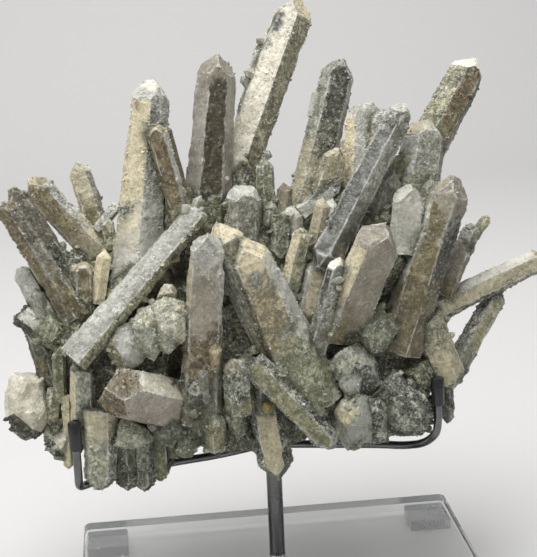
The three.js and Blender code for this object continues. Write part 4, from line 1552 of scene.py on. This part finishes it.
def speckle_group() -> bpy.types.NodeTree:
    """Makes the group for small scattered grains.

    Returns:
        A group that turns a place, a scale and a share into a mask of grains that keep together.
    """
    inputs = {"Vector": "Vector", "Scale": "Float", "Share": "Float"}
    tree, graph, start, end = new_group("Speckle", inputs, {"Mask": "Float"})
    vector, scale = start.outputs["Vector"], start.outputs["Scale"]
    moved = graph.stretched(vector, 420.0, 2.0)
    cells = graph.node("TexVoronoi", {"Vector": moved, "Scale": scale, "Randomness": 1.0})
    parts = graph.node("SeparateColor", {"Color": cells.outputs["Color"]})
    crowd = graph.ramp(graph.noise(vector, 52.0, 3.0, 0.6), 0.44, 0.66, 0.08, 1.1)
    wanted = graph.math("MULTIPLY", start.outputs["Share"], crowd)
    chosen = graph.math("LESS_THAN", parts.outputs[0], wanted)
    size = graph.math("MULTIPLY", parts.outputs[1], parts.outputs[1])
    reach = graph.math("MULTIPLY_ADD", size, 0.42, 0.13)
    near = graph.math("SUBTRACT", 1.0, graph.math("DIVIDE", cells.outputs["Distance"], reach), clamp=True)
    sharp = graph.math("MULTIPLY", near, 2.5, clamp=True)
    graph.set(end.inputs["Mask"], graph.math("MULTIPLY", chosen, sharp))
    return tree


def grain_group() -> bpy.types.NodeTree:
    """Makes the group for grainy crust.

    Returns:
        A group that turns a place into a shade and a height.
    """
    outputs = {"Shade": "Float", "Height": "Float"}
    tree, graph, start, end = new_group("Grain", {"Vector": "Vector"}, outputs)
    vector = start.outputs["Vector"]
    cells = graph.node("TexVoronoi", {"Vector": vector, "Scale": 520.0})
    facets = graph.node("SeparateColor", {"Color": cells.outputs["Color"]})
    fine = graph.noise(vector, 1100.0, 2.0, 0.6)
    coarse = graph.noise(vector, 190.0, 4.0, 0.68)
    bulge = graph.math("SUBTRACT", 1.0, cells.outputs["Distance"])
    height = graph.math("ADD", graph.math("MULTIPLY", bulge, 0.3), graph.math("MULTIPLY", coarse, 1.7))
    graph.set(end.inputs["Height"], graph.math("ADD", height, graph.math("MULTIPLY", fine, 0.15)))
    cell_shade, fine_shade = (graph.math("MULTIPLY", part, 0.36) for part in (facets.outputs[2], fine))
    shade = graph.math("ADD", cell_shade, fine_shade)
    graph.set(end.inputs["Shade"], graph.math("MULTIPLY_ADD", coarse, 0.62, shade))
    return tree


def patch_group() -> bpy.types.NodeTree:
    """Makes the group for ragged patches.

    Returns:
        A group that turns a place and a cover into a mask of patches with torn edges.
    """
    tree, graph, start, end = new_group("Patches", {"Vector": "Vector", "Cover": "Float"}, {"Mask": "Float"})
    vector = start.outputs["Vector"]
    moved = graph.stretched(vector, 60.0, 3.0)
    broad = graph.noise(moved, 40.0, 4.0, 0.66)
    torn = graph.noise(moved, 260.0, 3.0, 0.7)
    level = graph.math("MULTIPLY_ADD", torn, 0.34, broad)
    edge = graph.math("MULTIPLY_ADD", start.outputs["Cover"], -0.56, 0.94)
    above = graph.math("MULTIPLY", graph.math("SUBTRACT", level, edge), 10.0)
    graph.set(end.inputs["Mask"], graph.math("ADD", above, 0.5, clamp=True))
    return tree


@dataclass(frozen=True)
class QuartzFinish:
    """The stone's material: smoky quartz under crust, frost, growth lines and specks, with painted shade in
    its clefts and a pale line on its ridges that is partly wear and partly a painted highlight.

    Attributes:
        clean_roughness: how rough a bare face is.
        frosted_roughness: how rough an etched or coated face is.
        cleft_shade: how dark the painted shade in the clefts is.
        band_light: how strongly frost lightens the ridges.
        ridge_wear_and_highlight: how bright the pale line on a ridge is, which is partly wear and partly a
            painted highlight.
    """

    clean_roughness: float = 0.28
    frosted_roughness: float = 0.8
    cleft_shade: float = 0.24
    band_light: float = 0.7
    ridge_wear_and_highlight: float = 0.5

    def build(self, *groups: bpy.types.NodeTree) -> Material:
        """Makes the material.

        Args:
            groups: the groups for scattered grains, for grainy crust and for patches.

        Returns:
            The material.
        """
        speckle, grain, patches = groups
        material, graph, shader = new_material("quartz")
        place = graph.node("TexCoord").outputs["Object"]
        coating = graph.node("Attribute", attribute_name="coat")
        finish = graph.node("Attribute", attribute_name="finish")
        parts = graph.node("SeparateColor", {"Color": finish.outputs["Color"]})
        crust, frost, streak = (parts.outputs[k] for k in range(3))
        rough = graph.node("Group", {"Vector": place}, node_tree=grain)
        shade, height = rough.outputs["Shade"], rough.outputs["Height"]
        wide = graph.noise(place, 38.0, 4.0, 0.65)
        colour = self._body(graph, place, frost, wide)
        inputs = {"Vector": place, "Cover": coating.outputs["Alpha"]}
        patch = graph.node("Group", inputs, node_tree=patches).outputs["Mask"]
        colour = graph.blend(patch, colour, coating.outputs["Color"])
        coarse = graph.math("MAXIMUM", crust, graph.math("MULTIPLY", patch, 0.25))
        band, line = self._ridges(graph, place)
        coarse = graph.math("MAXIMUM", coarse, graph.math("MULTIPLY", band, 0.45))
        pale = graph.blend(0.55, colour, (0.62, 0.615, 0.565, 1))
        colour = graph.blend(graph.math("MULTIPLY", band, self.band_light), colour, pale)
        dull = graph.blend(1.0, colour, (0.32, 0.325, 0.29, 1), "MULTIPLY")
        mottled = graph.blend(graph.ramp(shade, 0.48, 0.72), dull, colour)
        lit = graph.blend(0.6, mottled, (0.88, 0.87, 0.8, 1))
        mottled = graph.blend(graph.ramp(shade, 0.76, 0.92), mottled, lit)
        soft = graph.math("MULTIPLY_ADD", coarse, 0.8, 0.18)
        colour = graph.blend(soft, colour, mottled)
        lines, groove = self._lines(graph, streak)
        colour = graph.blend(groove, colour, graph.blend(1.0, colour, (0.56, 0.53, 0.48, 1), "MULTIPLY"))
        inputs = {"Vector": place, "Scale": 430.0, "Share": finish.outputs["Alpha"]}
        dots = graph.node("Group", inputs, node_tree=speckle).outputs["Mask"]
        colour = graph.blend(graph.math("MULTIPLY", dots, 0.8), colour, (0.04, 0.038, 0.025, 1))
        shift = graph.node("Mapping", {"Vector": place, "Location": (0.37, 0.11, 0.23)})
        inputs = {"Vector": shift.outputs[0], "Scale": 620.0}
        inputs["Share"] = graph.math("MULTIPLY_ADD", coarse, 0.68, 0.16)
        white = graph.node("Group", inputs, node_tree=speckle).outputs["Mask"]
        colour = graph.blend(graph.math("MULTIPLY", white, 0.75), colour, (0.86, 0.85, 0.78, 1))
        # The pale line on the ridges: partly wear, partly a painted highlight.
        colour = graph.blend(graph.math("MULTIPLY", line, self.ridge_wear_and_highlight), colour, (0.8, 0.79, 0.73, 1))
        # Painted shade: the stone is darkened, unevenly, in its clefts.
        deep = (self.cleft_shade, self.cleft_shade * 1.03, self.cleft_shade * 0.8, 1)
        uneven = graph.ramp(wide, 0.3, 0.6, 0.95, 0.55)
        painted_cleft_shade = graph.math("MULTIPLY", graph.attribute("cleft", "Fac"), uneven)
        colour = graph.blend(painted_cleft_shade, colour, graph.blend(1.0, colour, deep, "MULTIPLY"))
        matt = graph.math("MAXIMUM", graph.math("MULTIPLY", frost, 0.8), coarse)
        roughness = graph.ramp(matt, 0.0, 1.0, self.clean_roughness, self.frosted_roughness)
        raised = graph.math("MULTIPLY", height, graph.math("MULTIPLY_ADD", coarse, 0.8, 0.2))
        lined = graph.math("MULTIPLY_ADD", lines, graph.math("MULTIPLY", streak, -0.5), raised)
        pitted = graph.math("MULTIPLY_ADD", dots, -0.4, lined)
        relief = graph.node("Bump", {"Strength": 0.85, "Distance": 0.0022, "Height": pitted})
        inputs = {"Base Color": colour, "Roughness": roughness, "Normal": relief.outputs[0]}
        wire(graph, shader, {**inputs, "IOR": QUARTZ_IOR})
        return material

    @staticmethod
    def _body(graph: Graph, place: Socket, frost: Socket,
              wide: Socket) -> Socket:
        """Shades the crystal itself with cloudy veils, which frost hides.

        Args:
            graph: the material's graph.
            place: the place on the stone.
            frost: how etched the face is.
            wide: a broad noise.

        Returns:
            The colour.
        """
        tint = graph.attribute("tint", "Color")
        dark = graph.blend(1.0, tint, (0.6, 0.585, 0.55, 1), "MULTIPLY")
        bare = graph.math("MULTIPLY_ADD", frost, -0.7, 1.0)
        depth = graph.math("MULTIPLY", graph.ramp(wide, 0.62, 0.36), bare)
        colour = graph.blend(depth, tint, dark)
        veil = graph.noise(place, 110.0, 5.0, 0.7)
        cloudy = graph.blend(0.35, colour, (0.62, 0.6, 0.53, 1))
        veiled = graph.math("MULTIPLY", graph.ramp(veil, 0.5, 0.7, 0.0, 0.55), bare)
        return graph.blend(veiled, colour, cloudy)

    @staticmethod
    def _ridges(graph: Graph, place: Socket) -> tuple[Socket, Socket]:
        """Masks the frost beside the ridges, and the pale line on them, which is partly wear and partly a
        painted highlight.

        Args:
            graph: the material's graph.
            place: the place on the stone.

        Returns:
            The masks of the frost and of the line.
        """
        edge = graph.attribute("edge", "Fac")
        ragged = graph.noise(place, 150.0, 4.0, 0.7)
        where = graph.noise(place, 26.0, 2.0, 0.5)
        far = graph.math("MULTIPLY_ADD", graph.math("SUBTRACT", ragged, 0.5), 0.6, edge)
        reach = graph.ramp(where, 0.38, 0.68, 0.0, 0.36)
        band = graph.math("MULTIPLY", graph.math("SUBTRACT", reach, far), 4.0, clamp=True)
        sharp = graph.ramp(edge, 0.11, 0.02)
        kept = graph.ramp(graph.noise(place, 85.0, 4.0, 0.7), 0.46, 0.6)
        return band, graph.math("MULTIPLY", sharp, kept)

    @staticmethod
    def _lines(graph: Graph, streak: Socket) -> tuple[Socket, Socket]:
        """Draws the growth lines across the prism faces.

        Args:
            graph: the material's graph.
            streak: how strong the lines are.

        Returns:
            The lines' height and the mask of their grooves.
        """
        inputs = {"Vector": graph.attribute("grain", "Vector"), "Scale": (0.09, 0.5, 1.0)}
        lines = graph.node("Mapping", inputs, vector_type="POINT")
        height = graph.noise(lines.outputs[0], 1.0, 5.0, 0.72)
        return height, graph.math("MULTIPLY", graph.ramp(height, 0.5, 0.68, 0.0, 0.8), streak)


@dataclass(frozen=True)
class DruseFinish:
    """The tiny crystals' material: clear faces that catch the light.

    Attributes:
        roughness: how rough their faces are.
    """

    roughness: float = 0.3

    def build(self) -> Material:
        """Makes the material.

        Returns:
            The material.
        """
        material, graph, shader = new_material("druse")
        place = graph.node("TexCoord").outputs["Object"]
        tint = graph.attribute("tint", "Color")
        shade = graph.noise(place, 700.0, 2.0, 0.6)
        dull = graph.blend(1.0, tint, (0.72, 0.73, 0.72, 1), "MULTIPLY")
        colour = graph.blend(graph.ramp(shade, 0.4, 0.6), dull, tint)
        wire(graph, shader, {"Base Color": colour, "Roughness": self.roughness, "IOR": QUARTZ_IOR})
        return material


@dataclass(frozen=True)
class AcrylicFinish:
    """Clear acrylic with faint smears and scratches.

    Attributes:
        ior: its refractive index.
        roughness: how rough its polished faces are.
        smeared: how rough they are under smears.
        clear: the share of light that goes through; the rest is scattered.
    """

    ior: float = 1.49
    roughness: float = 0.01
    smeared: float = 0.09
    clear: float = 1.0

    def build(self, name: str) -> Material:
        """Makes the material.

        Args:
            name: its name.

        Returns:
            The material.
        """
        material, graph, shader = new_material(name)
        place = graph.node("TexCoord").outputs["Object"]
        smear = graph.ramp(graph.noise(place, 45.0, 4.0, 0.65), 0.45, 0.75, self.roughness, self.smeared)
        values = {"Base Color": (0.97, 0.985, 0.98, 1), "Roughness": smear, "IOR": self.ior}
        values["Transmission Weight"] = self.clear
        wire(graph, shader, values)
        return material


@dataclass(frozen=True)
class SteelFinish:
    """Dark satin steel, drawn along its length.

    Attributes:
        colour: its linear colour.
        roughness: how rough it is on the whole.
        uneven: how much rougher its dull patches are.
    """

    colour: tuple[float, float, float, float] = (0.17, 0.171, 0.172, 1)
    roughness: float = 0.17
    uneven: float = 0.12

    def build(self) -> Material:
        """Makes the material.

        Returns:
            The material.
        """
        material, graph, shader = new_material("steel")
        place = graph.node("TexCoord").outputs["Object"]
        patch = graph.noise(place, 60.0, 5.0, 0.7)
        roughness = graph.ramp(patch, 0.3, 0.7, self.roughness, self.roughness + self.uneven)
        fine = graph.noise(place, 2500.0, 2.0, 0.5)
        relief = graph.node("Bump", {"Strength": 0.06, "Distance": 0.0002, "Height": fine})
        dull = tuple(0.7 * part for part in self.colour[:3]) + (1,)
        colour = graph.blend(graph.ramp(patch, 0.35, 0.7), self.colour, dull)
        inputs = {"Base Color": colour, "Metallic": 1.0, "Roughness": roughness}
        wire(graph, shader, {**inputs, "Normal": relief.outputs[0]})
        return material


@dataclass(frozen=True)
class SleeveFinish:
    """Glossy dark plastic, a little dusty.

    Attributes:
        colour: its linear colour.
        roughness: how rough it is where clean.
        dusty: how rough it is under dust.
    """

    colour: tuple[float, float, float, float] = (0.02, 0.021, 0.022, 1)
    roughness: float = 0.1
    dusty: float = 0.28

    def build(self) -> Material:
        """Makes the material.

        Returns:
            The material.
        """
        material, graph, shader = new_material("sleeve")
        place = graph.node("TexCoord").outputs["Object"]
        dust = graph.noise(place, 320.0, 5.0, 0.7)
        roughness = graph.ramp(dust, 0.4, 0.7, self.roughness, self.dusty)
        colour = graph.blend(graph.ramp(dust, 0.55, 0.8, 0.0, 0.5), self.colour, (0.07, 0.07, 0.065, 1))
        wire(graph, shader, {"Base Color": colour, "Roughness": roughness})
        return material


def new_material(name: str) -> tuple[Material, Graph, bpy.types.Node]:
    """Starts a material.

    Args:
        name: its name.

    Returns:
        The material, its graph and its main shader node.
    """
    material = bpy.data.materials.new(name)
    material.use_nodes = True
    return material, Graph(material.node_tree), material.node_tree.nodes["Principled BSDF"]


def wire(graph: Graph, shader: bpy.types.Node, inputs: dict) -> None:
    """Sets or links some of a shader node's inputs."""
    for name, value in inputs.items():
        graph.set(shader.inputs[name], value)


# ---------------------------------------------------------------- the stand


def node_box(name: str) -> tuple[Vector, Vector]:
    """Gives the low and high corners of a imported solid, in metres."""
    low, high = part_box(name)
    return Vector(low), Vector(high)


def turned(name: str, centre: Vector, profile: Sequence[tuple[float, float]]) -> Piece:
    """Turns a closed outline about an upright axis.

    Args:
        name: the object's name.
        centre: the axis; its height is left out.
        profile: radius and height of each corner, from the axis at the foot to the axis at the top.

    Returns:
        The object.
    """
    shape = bmesh.new()
    rings = []
    for radius, height in profile:
        if radius == 0:
            rings.append([shape.verts.new((centre.x, centre.y, height))])
            continue
        turns = [k * math.tau / TURN_SIDES for k in range(TURN_SIDES)]
        places = [(centre.x + radius * math.cos(t), centre.y + radius * math.sin(t), height) for t in turns]
        rings.append([shape.verts.new(place) for place in places])
    for low, high in zip(rings, rings[1:]):
        for k in range(TURN_SIDES):
            following = (k + 1) % TURN_SIDES
            corners = [low[k % len(low)], low[following % len(low)]]
            corners += [high[following % len(high)], high[k % len(high)]]
            shape.faces.new(list(dict.fromkeys(corners)))
    return shaded(name, shape)


def bridge(shape: bmesh.types.BMesh, rings: list) -> None:
    """Joins each closed ring of corners to the next with four-sided faces, and closes both ends.

    Args:
        shape: the shape that the rings are in.
        rings: the rings, all with one number of corners.
    """
    count = len(rings[0])
    for low, high in zip(rings, rings[1:]):
        for k in range(count):
            following = (k + 1) % count
            shape.faces.new((low[k], low[following], high[following], high[k]))
    shape.faces.new(rings[0])
    shape.faces.new(rings[-1])


def shaded(name: str, shape: bmesh.types.BMesh) -> Piece:
    """Turns a shape into an object, smooth except at its sharp edges.

    Args:
        name: the object's name.
        shape: the shape, which is freed.

    Returns:
        The object.
    """
    mesh = bpy.data.meshes.new(name)
    bmesh.ops.recalc_face_normals(shape, faces=shape.faces)
    shape.to_mesh(mesh)
    shape.free()
    mesh.polygons.foreach_set("use_smooth", [True] * len(mesh.polygons))
    mesh.set_sharp_from_angle(angle=SHARP)
    return link_object(name, mesh)


@dataclass(frozen=True)
class Cradle:
    """The steel post, hub and four bent arms, and the plastic sleeves on the arms' ends.

    Attributes:
        edge: the width of the turned pieces' bevels, in metres.
        sides: how many sides an arm's section has.
        sleeve_wall: how thick a sleeve's roof is, in metres.
        sleeve_bore: the radius of its bore.
        sleeve_edge: the width of its rounded top edge.
        sleeve_rim: the width of the bevel on its lower rim.
        socket_depth: how deep the socket in the screw's head is.
        screw_edge: the width of the bevel on that head.
    """

    edge: float = 0.0008
    sides: int = 24
    sleeve_wall: float = 0.0015
    sleeve_bore: float = 0.0035
    sleeve_edge: float = 0.0012
    sleeve_rim: float = 0.0004
    socket_depth: float = 0.002
    screw_edge: float = 0.0006

    def build(self, steel: Material, plastic: Material) -> None:
        """Builds every piece of the cradle.

        Args:
            steel: the arms', post's, hub's and screw's material.
            plastic: the sleeves' material.
        """
        for name, edge in (("mount_post", self.edge), ("cradle_hub", 2 * self.edge)):
            low, high = node_box(name)
            finished(self._rod(name, low, high, edge), steel, "steel", name)
        low, high = node_box("post_screw")
        finished(self._screw(low, high), steel, "steel", "post_screw")
        for corner in CORNERS:
            arm = self._arm(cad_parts[f"arm_{corner}"], f"smooth_arm_{corner}")
            finished(arm, steel, "steel", f"arm_{corner}")
            low, high = node_box(f"sleeve_{corner}")
            sleeve = self._sleeve(f"smooth_sleeve_{corner}", low, high)
            finished(sleeve, plastic, "sleeve", f"sleeve_{corner}")

    def _rod(self, name: str, low: Vector, high: Vector, edge: float) -> Piece:
        """Turns an upright rod or disc with bevelled ends.

        Args:
            name: the solid's name.
            low: the solid's low corner, in metres.
            high: its high corner.
            edge: the bevels' width, in metres.

        Returns:
            The object.
        """
        radius = (high.x - low.x) / 2
        profile = [(0, low.z), (radius - edge, low.z), (radius, low.z + edge)]
        profile += [(radius, high.z - edge), (radius - edge, high.z), (0, high.z)]
        return turned(f"smooth_{name}", (low + high) / 2, profile)

    def _screw(self, low: Vector, high: Vector) -> Piece:
        """Turns the screw under the slab: a wide head with a socket in it, below a short shank.

        Args:
            low: the solid's low corner, in metres.
            high: its high corner.

        Returns:
            The object.
        """
        head, socket, bevel = (high.x - low.x) / 2, low.z + self.socket_depth, self.screw_edge
        profile = [(0, socket), (SCREW_SHANK, socket), (SCREW_SHANK, low.z), (head - bevel, low.z)]
        profile += [(head, low.z + bevel), (head, low.z + SCREW_HEAD)]
        profile += [(SCREW_SHANK, low.z + SCREW_HEAD), (SCREW_SHANK, high.z), (0, high.z)]
        return turned("smooth_post_screw", (low + high) / 2, profile)

    def _sleeve(self, name: str, low: Vector, high: Vector) -> Piece:
        """Turns a sleeve: a cap over an arm's end, open below.

        Args:
            name: the new object's name.
            low: the solid's low corner, in metres.
            high: its high corner.

        Returns:
            The object.
        """
        radius, bore, edge, rim = (high.x - low.x) / 2, self.sleeve_bore, self.sleeve_edge, self.sleeve_rim
        roof, bulge = high.z - self.sleeve_wall, 0.3 * edge
        profile = [(0, roof), (bore, roof), (bore, low.z), (radius - rim, low.z), (radius, low.z + rim)]
        profile += [(radius, high.z - edge), (radius - bulge, high.z - bulge)]
        profile += [(radius - edge, high.z), (0, high.z)]
        return turned(name, (low + high) / 2, profile)

    def _arm(self, node: Piece, name: str) -> Piece:
        """Sweeps a round rod along the middle of a packed arm.

        Args:
            node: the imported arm.
            name: the new object's name.

        Returns:
            The object.
        """
        points, triangles = FacetedStone.welded(node.data)
        near = defaultdict(set)
        for a, b, c in triangles.tolist():
            near[a] |= {b, c}
            near[b] |= {a, c}
            near[c] |= {a, b}
        ring = {k for k in range(len(points)) if points[k, 2] > points[:, 2].max() - 0.01}
        seen, middles = set(ring), []
        radius = float(np.linalg.norm(points[list(ring)] - points[list(ring)].mean(axis=0), axis=1).mean())
        while ring:
            middles.append(points[list(ring)].mean(axis=0))
            ring = {other for k in ring for other in near[k]} - seen
            seen |= ring
        return self._swept(name, self._rounded(np.array(middles)), radius)

    @staticmethod
    def _rounded(middles: np.ndarray, steps: int = 5) -> np.ndarray:
        """Threads a smooth line through a row of points.

        Args:
            middles: the points.
            steps: how many pieces there are between two of them.

        Returns:
            The line's points.
        """
        padded = np.vstack([2 * middles[0] - middles[1], middles, 2 * middles[-1] - middles[-2]])
        line = []
        for before, start, end, after in zip(padded, padded[1:], padded[2:], padded[3:]):
            for t in np.arange(steps) / steps:
                bend = 2 * before - 5 * start + 4 * end - after
                twist = 3 * (start - end) + after - before
                line.append(0.5 * (2 * start + (end - before) * t + bend * t**2 + twist * t**3))
        return np.vstack([line, middles[-1]])

    def _swept(self, name: str, line: np.ndarray, radius: float) -> Piece:
        """Sweeps a round section along a line.

        Args:
            name: the object's name.
            line: the line, in mm.
            radius: the section's radius in mm.

        Returns:
            The object.
        """
        shape = bmesh.new()
        tangents = np.gradient(line, axis=0)
        tangents /= np.linalg.norm(tangents, axis=1)[:, None]
        side = np.array([1.0, 0.0, 0.0])
        rings = []
        for middle, tangent in zip(line, tangents):
            side = side - (side @ tangent) * tangent
            side /= np.linalg.norm(side)
            up = np.cross(tangent, side)
            ring = []
            for k in range(self.sides):
                turn = k * math.tau / self.sides
                place = middle + radius * (math.cos(turn) * side + math.sin(turn) * up)
                ring.append(shape.verts.new(place * MM))
            rings.append(ring)
        bridge(shape, rings)
        return shaded(name, shape)


@dataclass(frozen=True)
class ClearBase:
    """The clear slab and its four clear feet.

    Attributes:
        slab_corner: the radius of the slab's corners, in metres.
        foot_corner: the radius of the feet's corners, in metres.
        edge: the width of the polished bevels, in metres.
        seat_slack: the gap round the post and screw in the slab, in metres.
        overrun: how far the cutter reaches past the slab's faces, in metres.
    """

    slab_corner: float = 0.006
    foot_corner: float = 0.002
    edge: float = 0.0009
    seat_slack: float = 0.0003
    overrun: float = 0.005

    def build(self, clear: Material, frosted: Material) -> None:
        """Builds the slab and feet.

        Args:
            clear: the slab's material.
            frosted: the feet's material.
        """
        low, high = node_box("acrylic_slab")
        slab = self._block("clear_slab", low, high, self.slab_corner)
        self._drill(slab, low, high)
        finished(slab, clear, "acrylic", "acrylic_slab")
        for corner in CORNERS:
            low, high = node_box(f"acrylic_foot_{corner}")
            foot = self._block(f"clear_foot_{corner}", low, high, self.foot_corner)
            finished(foot, frosted, "acrylic", f"acrylic_foot_{corner}")

    def _block(self, name: str, low: Vector, high: Vector, corner: float) -> Piece:
        """Makes a block with rounded corners and bevelled rims.

        Args:
            name: the new object's name.
            low: the solid's low corner, in metres.
            high: its high corner.
            corner: the radius of its upright corners, in metres.

        Returns:
            The object.
        """
        shape = bmesh.new()
        rims = []
        heights = ((self.edge, low.z), (0, low.z + self.edge), (0, high.z - self.edge), (self.edge, high.z))
        for inset, height in heights:
            rims.append([shape.verts.new((x, y, height)) for x, y in self._outline(low, high, corner, inset)])
        bridge(shape, rims)
        return shaded(name, shape)

    @staticmethod
    def _outline(low: Vector, high: Vector, corner: float, inset: float) -> list[tuple[float, float]]:
        """Lists the points of a rounded rectangle.

        Args:
            low: the solid's low corner, in metres.
            high: its high corner.
            corner: the radius of its corners, in metres.
            inset: how far it lies inside the solid's own outline.

        Returns:
            The points.
        """
        places = []
        ends = ((high.x, high.y), (low.x, high.y), (low.x, low.y), (high.x, low.y))
        for quarter, (x, y) in enumerate(ends):
            centre_x = x - math.copysign(corner, x - (low.x + high.x) / 2)
            centre_y = y - math.copysign(corner, y - (low.y + high.y) / 2)
            for step in range(9):
                turn = (quarter + step / 8) * math.pi / 2
                radius = corner - inset
                places.append((centre_x + radius * math.cos(turn), centre_y + radius * math.sin(turn)))
        return places

    def _drill(self, slab: Piece, low: Vector, high: Vector) -> None:
        """Cuts the post's seat, the screw's hole and its head's recess in the slab.

        Args:
            slab: the slab's object.
            low: the solid's low corner, in metres.
            high: its high corner.
        """
        post_low, post_high = node_box("mount_post")
        screw_low, screw_high = node_box("post_screw")
        centre = (post_low + post_high) / 2
        seat = (post_high.x - post_low.x) / 2 + self.seat_slack
        head = (screw_high.x - screw_low.x) / 2 + self.seat_slack
        past, shank = self.overrun, SCREW_SHANK + self.seat_slack
        recess, floor = screw_low.z + SCREW_HEAD + self.seat_slack, post_low.z - self.seat_slack
        profile = [(0, low.z - past), (head, low.z - past), (head, recess), (shank, recess)]
        profile += [(shank, floor), (seat, floor), (seat, high.z + past), (0, high.z + past)]
        cutter = turned("cutter", centre, profile)
        cut = slab.modifiers.new("drill", "BOOLEAN")
        cut.object, cut.operation, cut.solver = cutter, "DIFFERENCE", "EXACT"
        bpy.context.view_layer.update()
        drilled = bpy.data.meshes.new_from_object(slab.evaluated_get(bpy.context.evaluated_depsgraph_get()))
        slab.modifiers.clear()
        slab.data = drilled
        bpy.data.objects.remove(cutter)
        drilled.set_sharp_from_angle(angle=SHARP)


# ---------------------------------------------------------------- the studio


@dataclass(frozen=True)
class Studio:
    """The pale floor and wall, the soft lights and the camera.

    Attributes:
        eye: the camera's place in metres, from the post's axis at ground level.
        yaw: how far the camera is turned to the right of +Y, in degrees.
        pitch: how far it looks down, in degrees.
        roll: how far it is rolled, in degrees.
        lens: its focal length in mm.
        sensor: the width of its sensor in mm.
        reach: how far the stage goes to each side, to the front and up, in metres.
        flat: how far behind the part the floor starts to rise, in metres.
        cove: the radius in which it rises into the wall, in metres.
        cove_step: the angle of one flat piece of that bend, in degrees.
        aim: the point that the part's lights face, in metres.
    """

    eye: tuple[float, float, float] = (-0.097, -1.0525, 0.5478)
    yaw: float = 5.4
    pitch: float = 15.0
    roll: float = -2.5
    lens: float = 90.5
    sensor: float = 36.0
    reach: float = 4.0
    flat: float = 1.7
    cove: float = 0.6
    cove_step: float = 7.5
    aim: tuple[float, float, float] = (0.0, 0.0, 0.25)

    def build(self, axis: Vector) -> None:
        """Sets up the stage, the lights and the camera.

        Args:
            axis: the post's axis at ground level, in metres.
        """
        bpy.context.scene.view_settings.view_transform = "Standard"
        self._stage()
        self._lights()
        self._camera(axis)

    def _stage(self) -> None:
        """Makes a pale floor that rises into a wall behind the part."""
        shape = bmesh.new()
        rows = [(-self.reach, 0.0), (self.flat, 0.0)]
        for turn in np.radians(np.arange(self.cove_step, 90, self.cove_step)):
            rows.append((self.flat + self.cove * math.sin(turn), self.cove - self.cove * math.cos(turn)))
        wall = self.flat + self.cove
        rows += [(wall, self.cove), (wall, self.reach)]
        pairs = [[shape.verts.new((x, y, z)) for x in (-self.reach, self.reach)] for y, z in rows]
        for (a, b), (c, d) in zip(pairs, pairs[1:]):
            shape.faces.new((a, b, d, c))
        floor = shaded("floor", shape)
        material, _, shader = new_material("floor")
        shader.inputs["Base Color"].default_value = (0.67, 0.66, 0.648, 1)
        shader.inputs["Roughness"].default_value = 0.8
        floor.data.materials.append(material)

    def _lights(self) -> None:
        """Hangs a broad light overhead, one for the wall and one at each side, and fills in evenly."""
        wall = (0.0, self.flat + self.cove, 0.45)
        self._light("overhead", (-0.3, -0.5, 2.1), self.aim, 1.4, 38.5)
        self._light("backdrop", (0.0, 0.5, 2.4), wall, 1.6, 27.0)
        self._light("left", (-1.9, -1.3, 1.3), self.aim, 1.4, 11.0)
        self._light("right", (1.9, -0.9, 1.2), self.aim, 1.2, 4.0)
        world = bpy.data.worlds.new("studio")
        bpy.context.scene.world = world
        world.use_nodes = True
        world.node_tree.nodes["Background"].inputs["Color"].default_value = (0.93, 0.96, 1.0, 1)
        world.node_tree.nodes["Background"].inputs["Strength"].default_value = 0.26

    @staticmethod
    def _light(name: str, place: tuple, target: tuple, size: float, power: float) -> None:
        """Hangs one square light that faces a target.

        Args:
            name: its name.
            place: where it hangs, in metres.
            target: the point that it faces.
            size: the length of its sides in metres.
            power: its power in watts.
        """
        light = bpy.data.lights.new(name, "AREA")
        light.size = size
        light.energy = power
        holder = link_object(name, light)
        holder.location = place
        holder.rotation_euler = (Vector(target) - Vector(place)).to_track_quat("-Z", "Y").to_euler()

    def _camera(self, axis: Vector) -> None:
        """Places the camera.

        Args:
            axis: the post's axis at ground level, in metres.
        """
        yaw, pitch, roll = (math.radians(turn) for turn in (self.yaw, self.pitch, self.roll))
        forward = Vector((math.sin(yaw) * math.cos(pitch), math.cos(yaw) * math.cos(pitch), -math.sin(pitch)))
        level = Vector((math.cos(yaw), -math.sin(yaw), 0))
        upright = level.cross(forward)
        right = math.cos(roll) * level + math.sin(roll) * upright
        up = -math.sin(roll) * level + math.cos(roll) * upright
        data = bpy.data.cameras.new("camera")
        data.lens = self.lens
        data.sensor_width = self.sensor
        camera = link_object("camera", data)
        place = axis + Vector(self.eye)
        rows = [(right[k], up[k], -forward[k], place[k]) for k in range(3)]
        camera.matrix_world = Matrix((*rows, (0, 0, 0, 1)))
        bpy.context.scene.camera = camera


# ---------------------------------------------------------------- the scene


def main() -> None:
    """Builds the looks of every sub-assembly in turn."""
    logging.basicConfig(level=logging.INFO, format="%(name)s: %(message)s")
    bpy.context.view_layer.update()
    post_low, post_high = node_box("mount_post")
    axis = Vector(((post_low.x + post_high.x) / 2, (post_low.y + post_high.y) / 2, 0))
    origin = np.array(axis) / MM
    speckle, grain = speckle_group(), grain_group()
    quartz = QuartzFinish().build(speckle, grain, patch_group())
    stone = FacetedStone(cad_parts["quartz_cluster"], origin)
    log.info("stone read: %d facets, %d crystals", len(stone.facets), len(stone.crystals))
    skin = StoneSkin(stone, origin)
    finished(skin.build(), quartz, "quartz", "quartz_cluster")
    log.info("skin built: %d triangles", len(skin.mesh.triangles))
    finished(SmallCrystals(skin, origin).build(), quartz, "quartz")
    log.info("small crystals built")
    druse = DruseFinish().build()
    for piece in Druse(skin).build():
        finished(piece, druse, "quartz")
    log.info("druse built")
    Cradle().build(SteelFinish().build(), SleeveFinish().build())
    log.info("cradle built")
    frosted = AcrylicFinish(roughness=0.22, smeared=0.4, clear=0.7).build("frosted_acrylic")
    ClearBase().build(AcrylicFinish().build("clear_acrylic"), frosted)
    log.info("base built")
    Studio().build(axis)
    log.info("studio built")


if __name__ == "__main__":
    main()
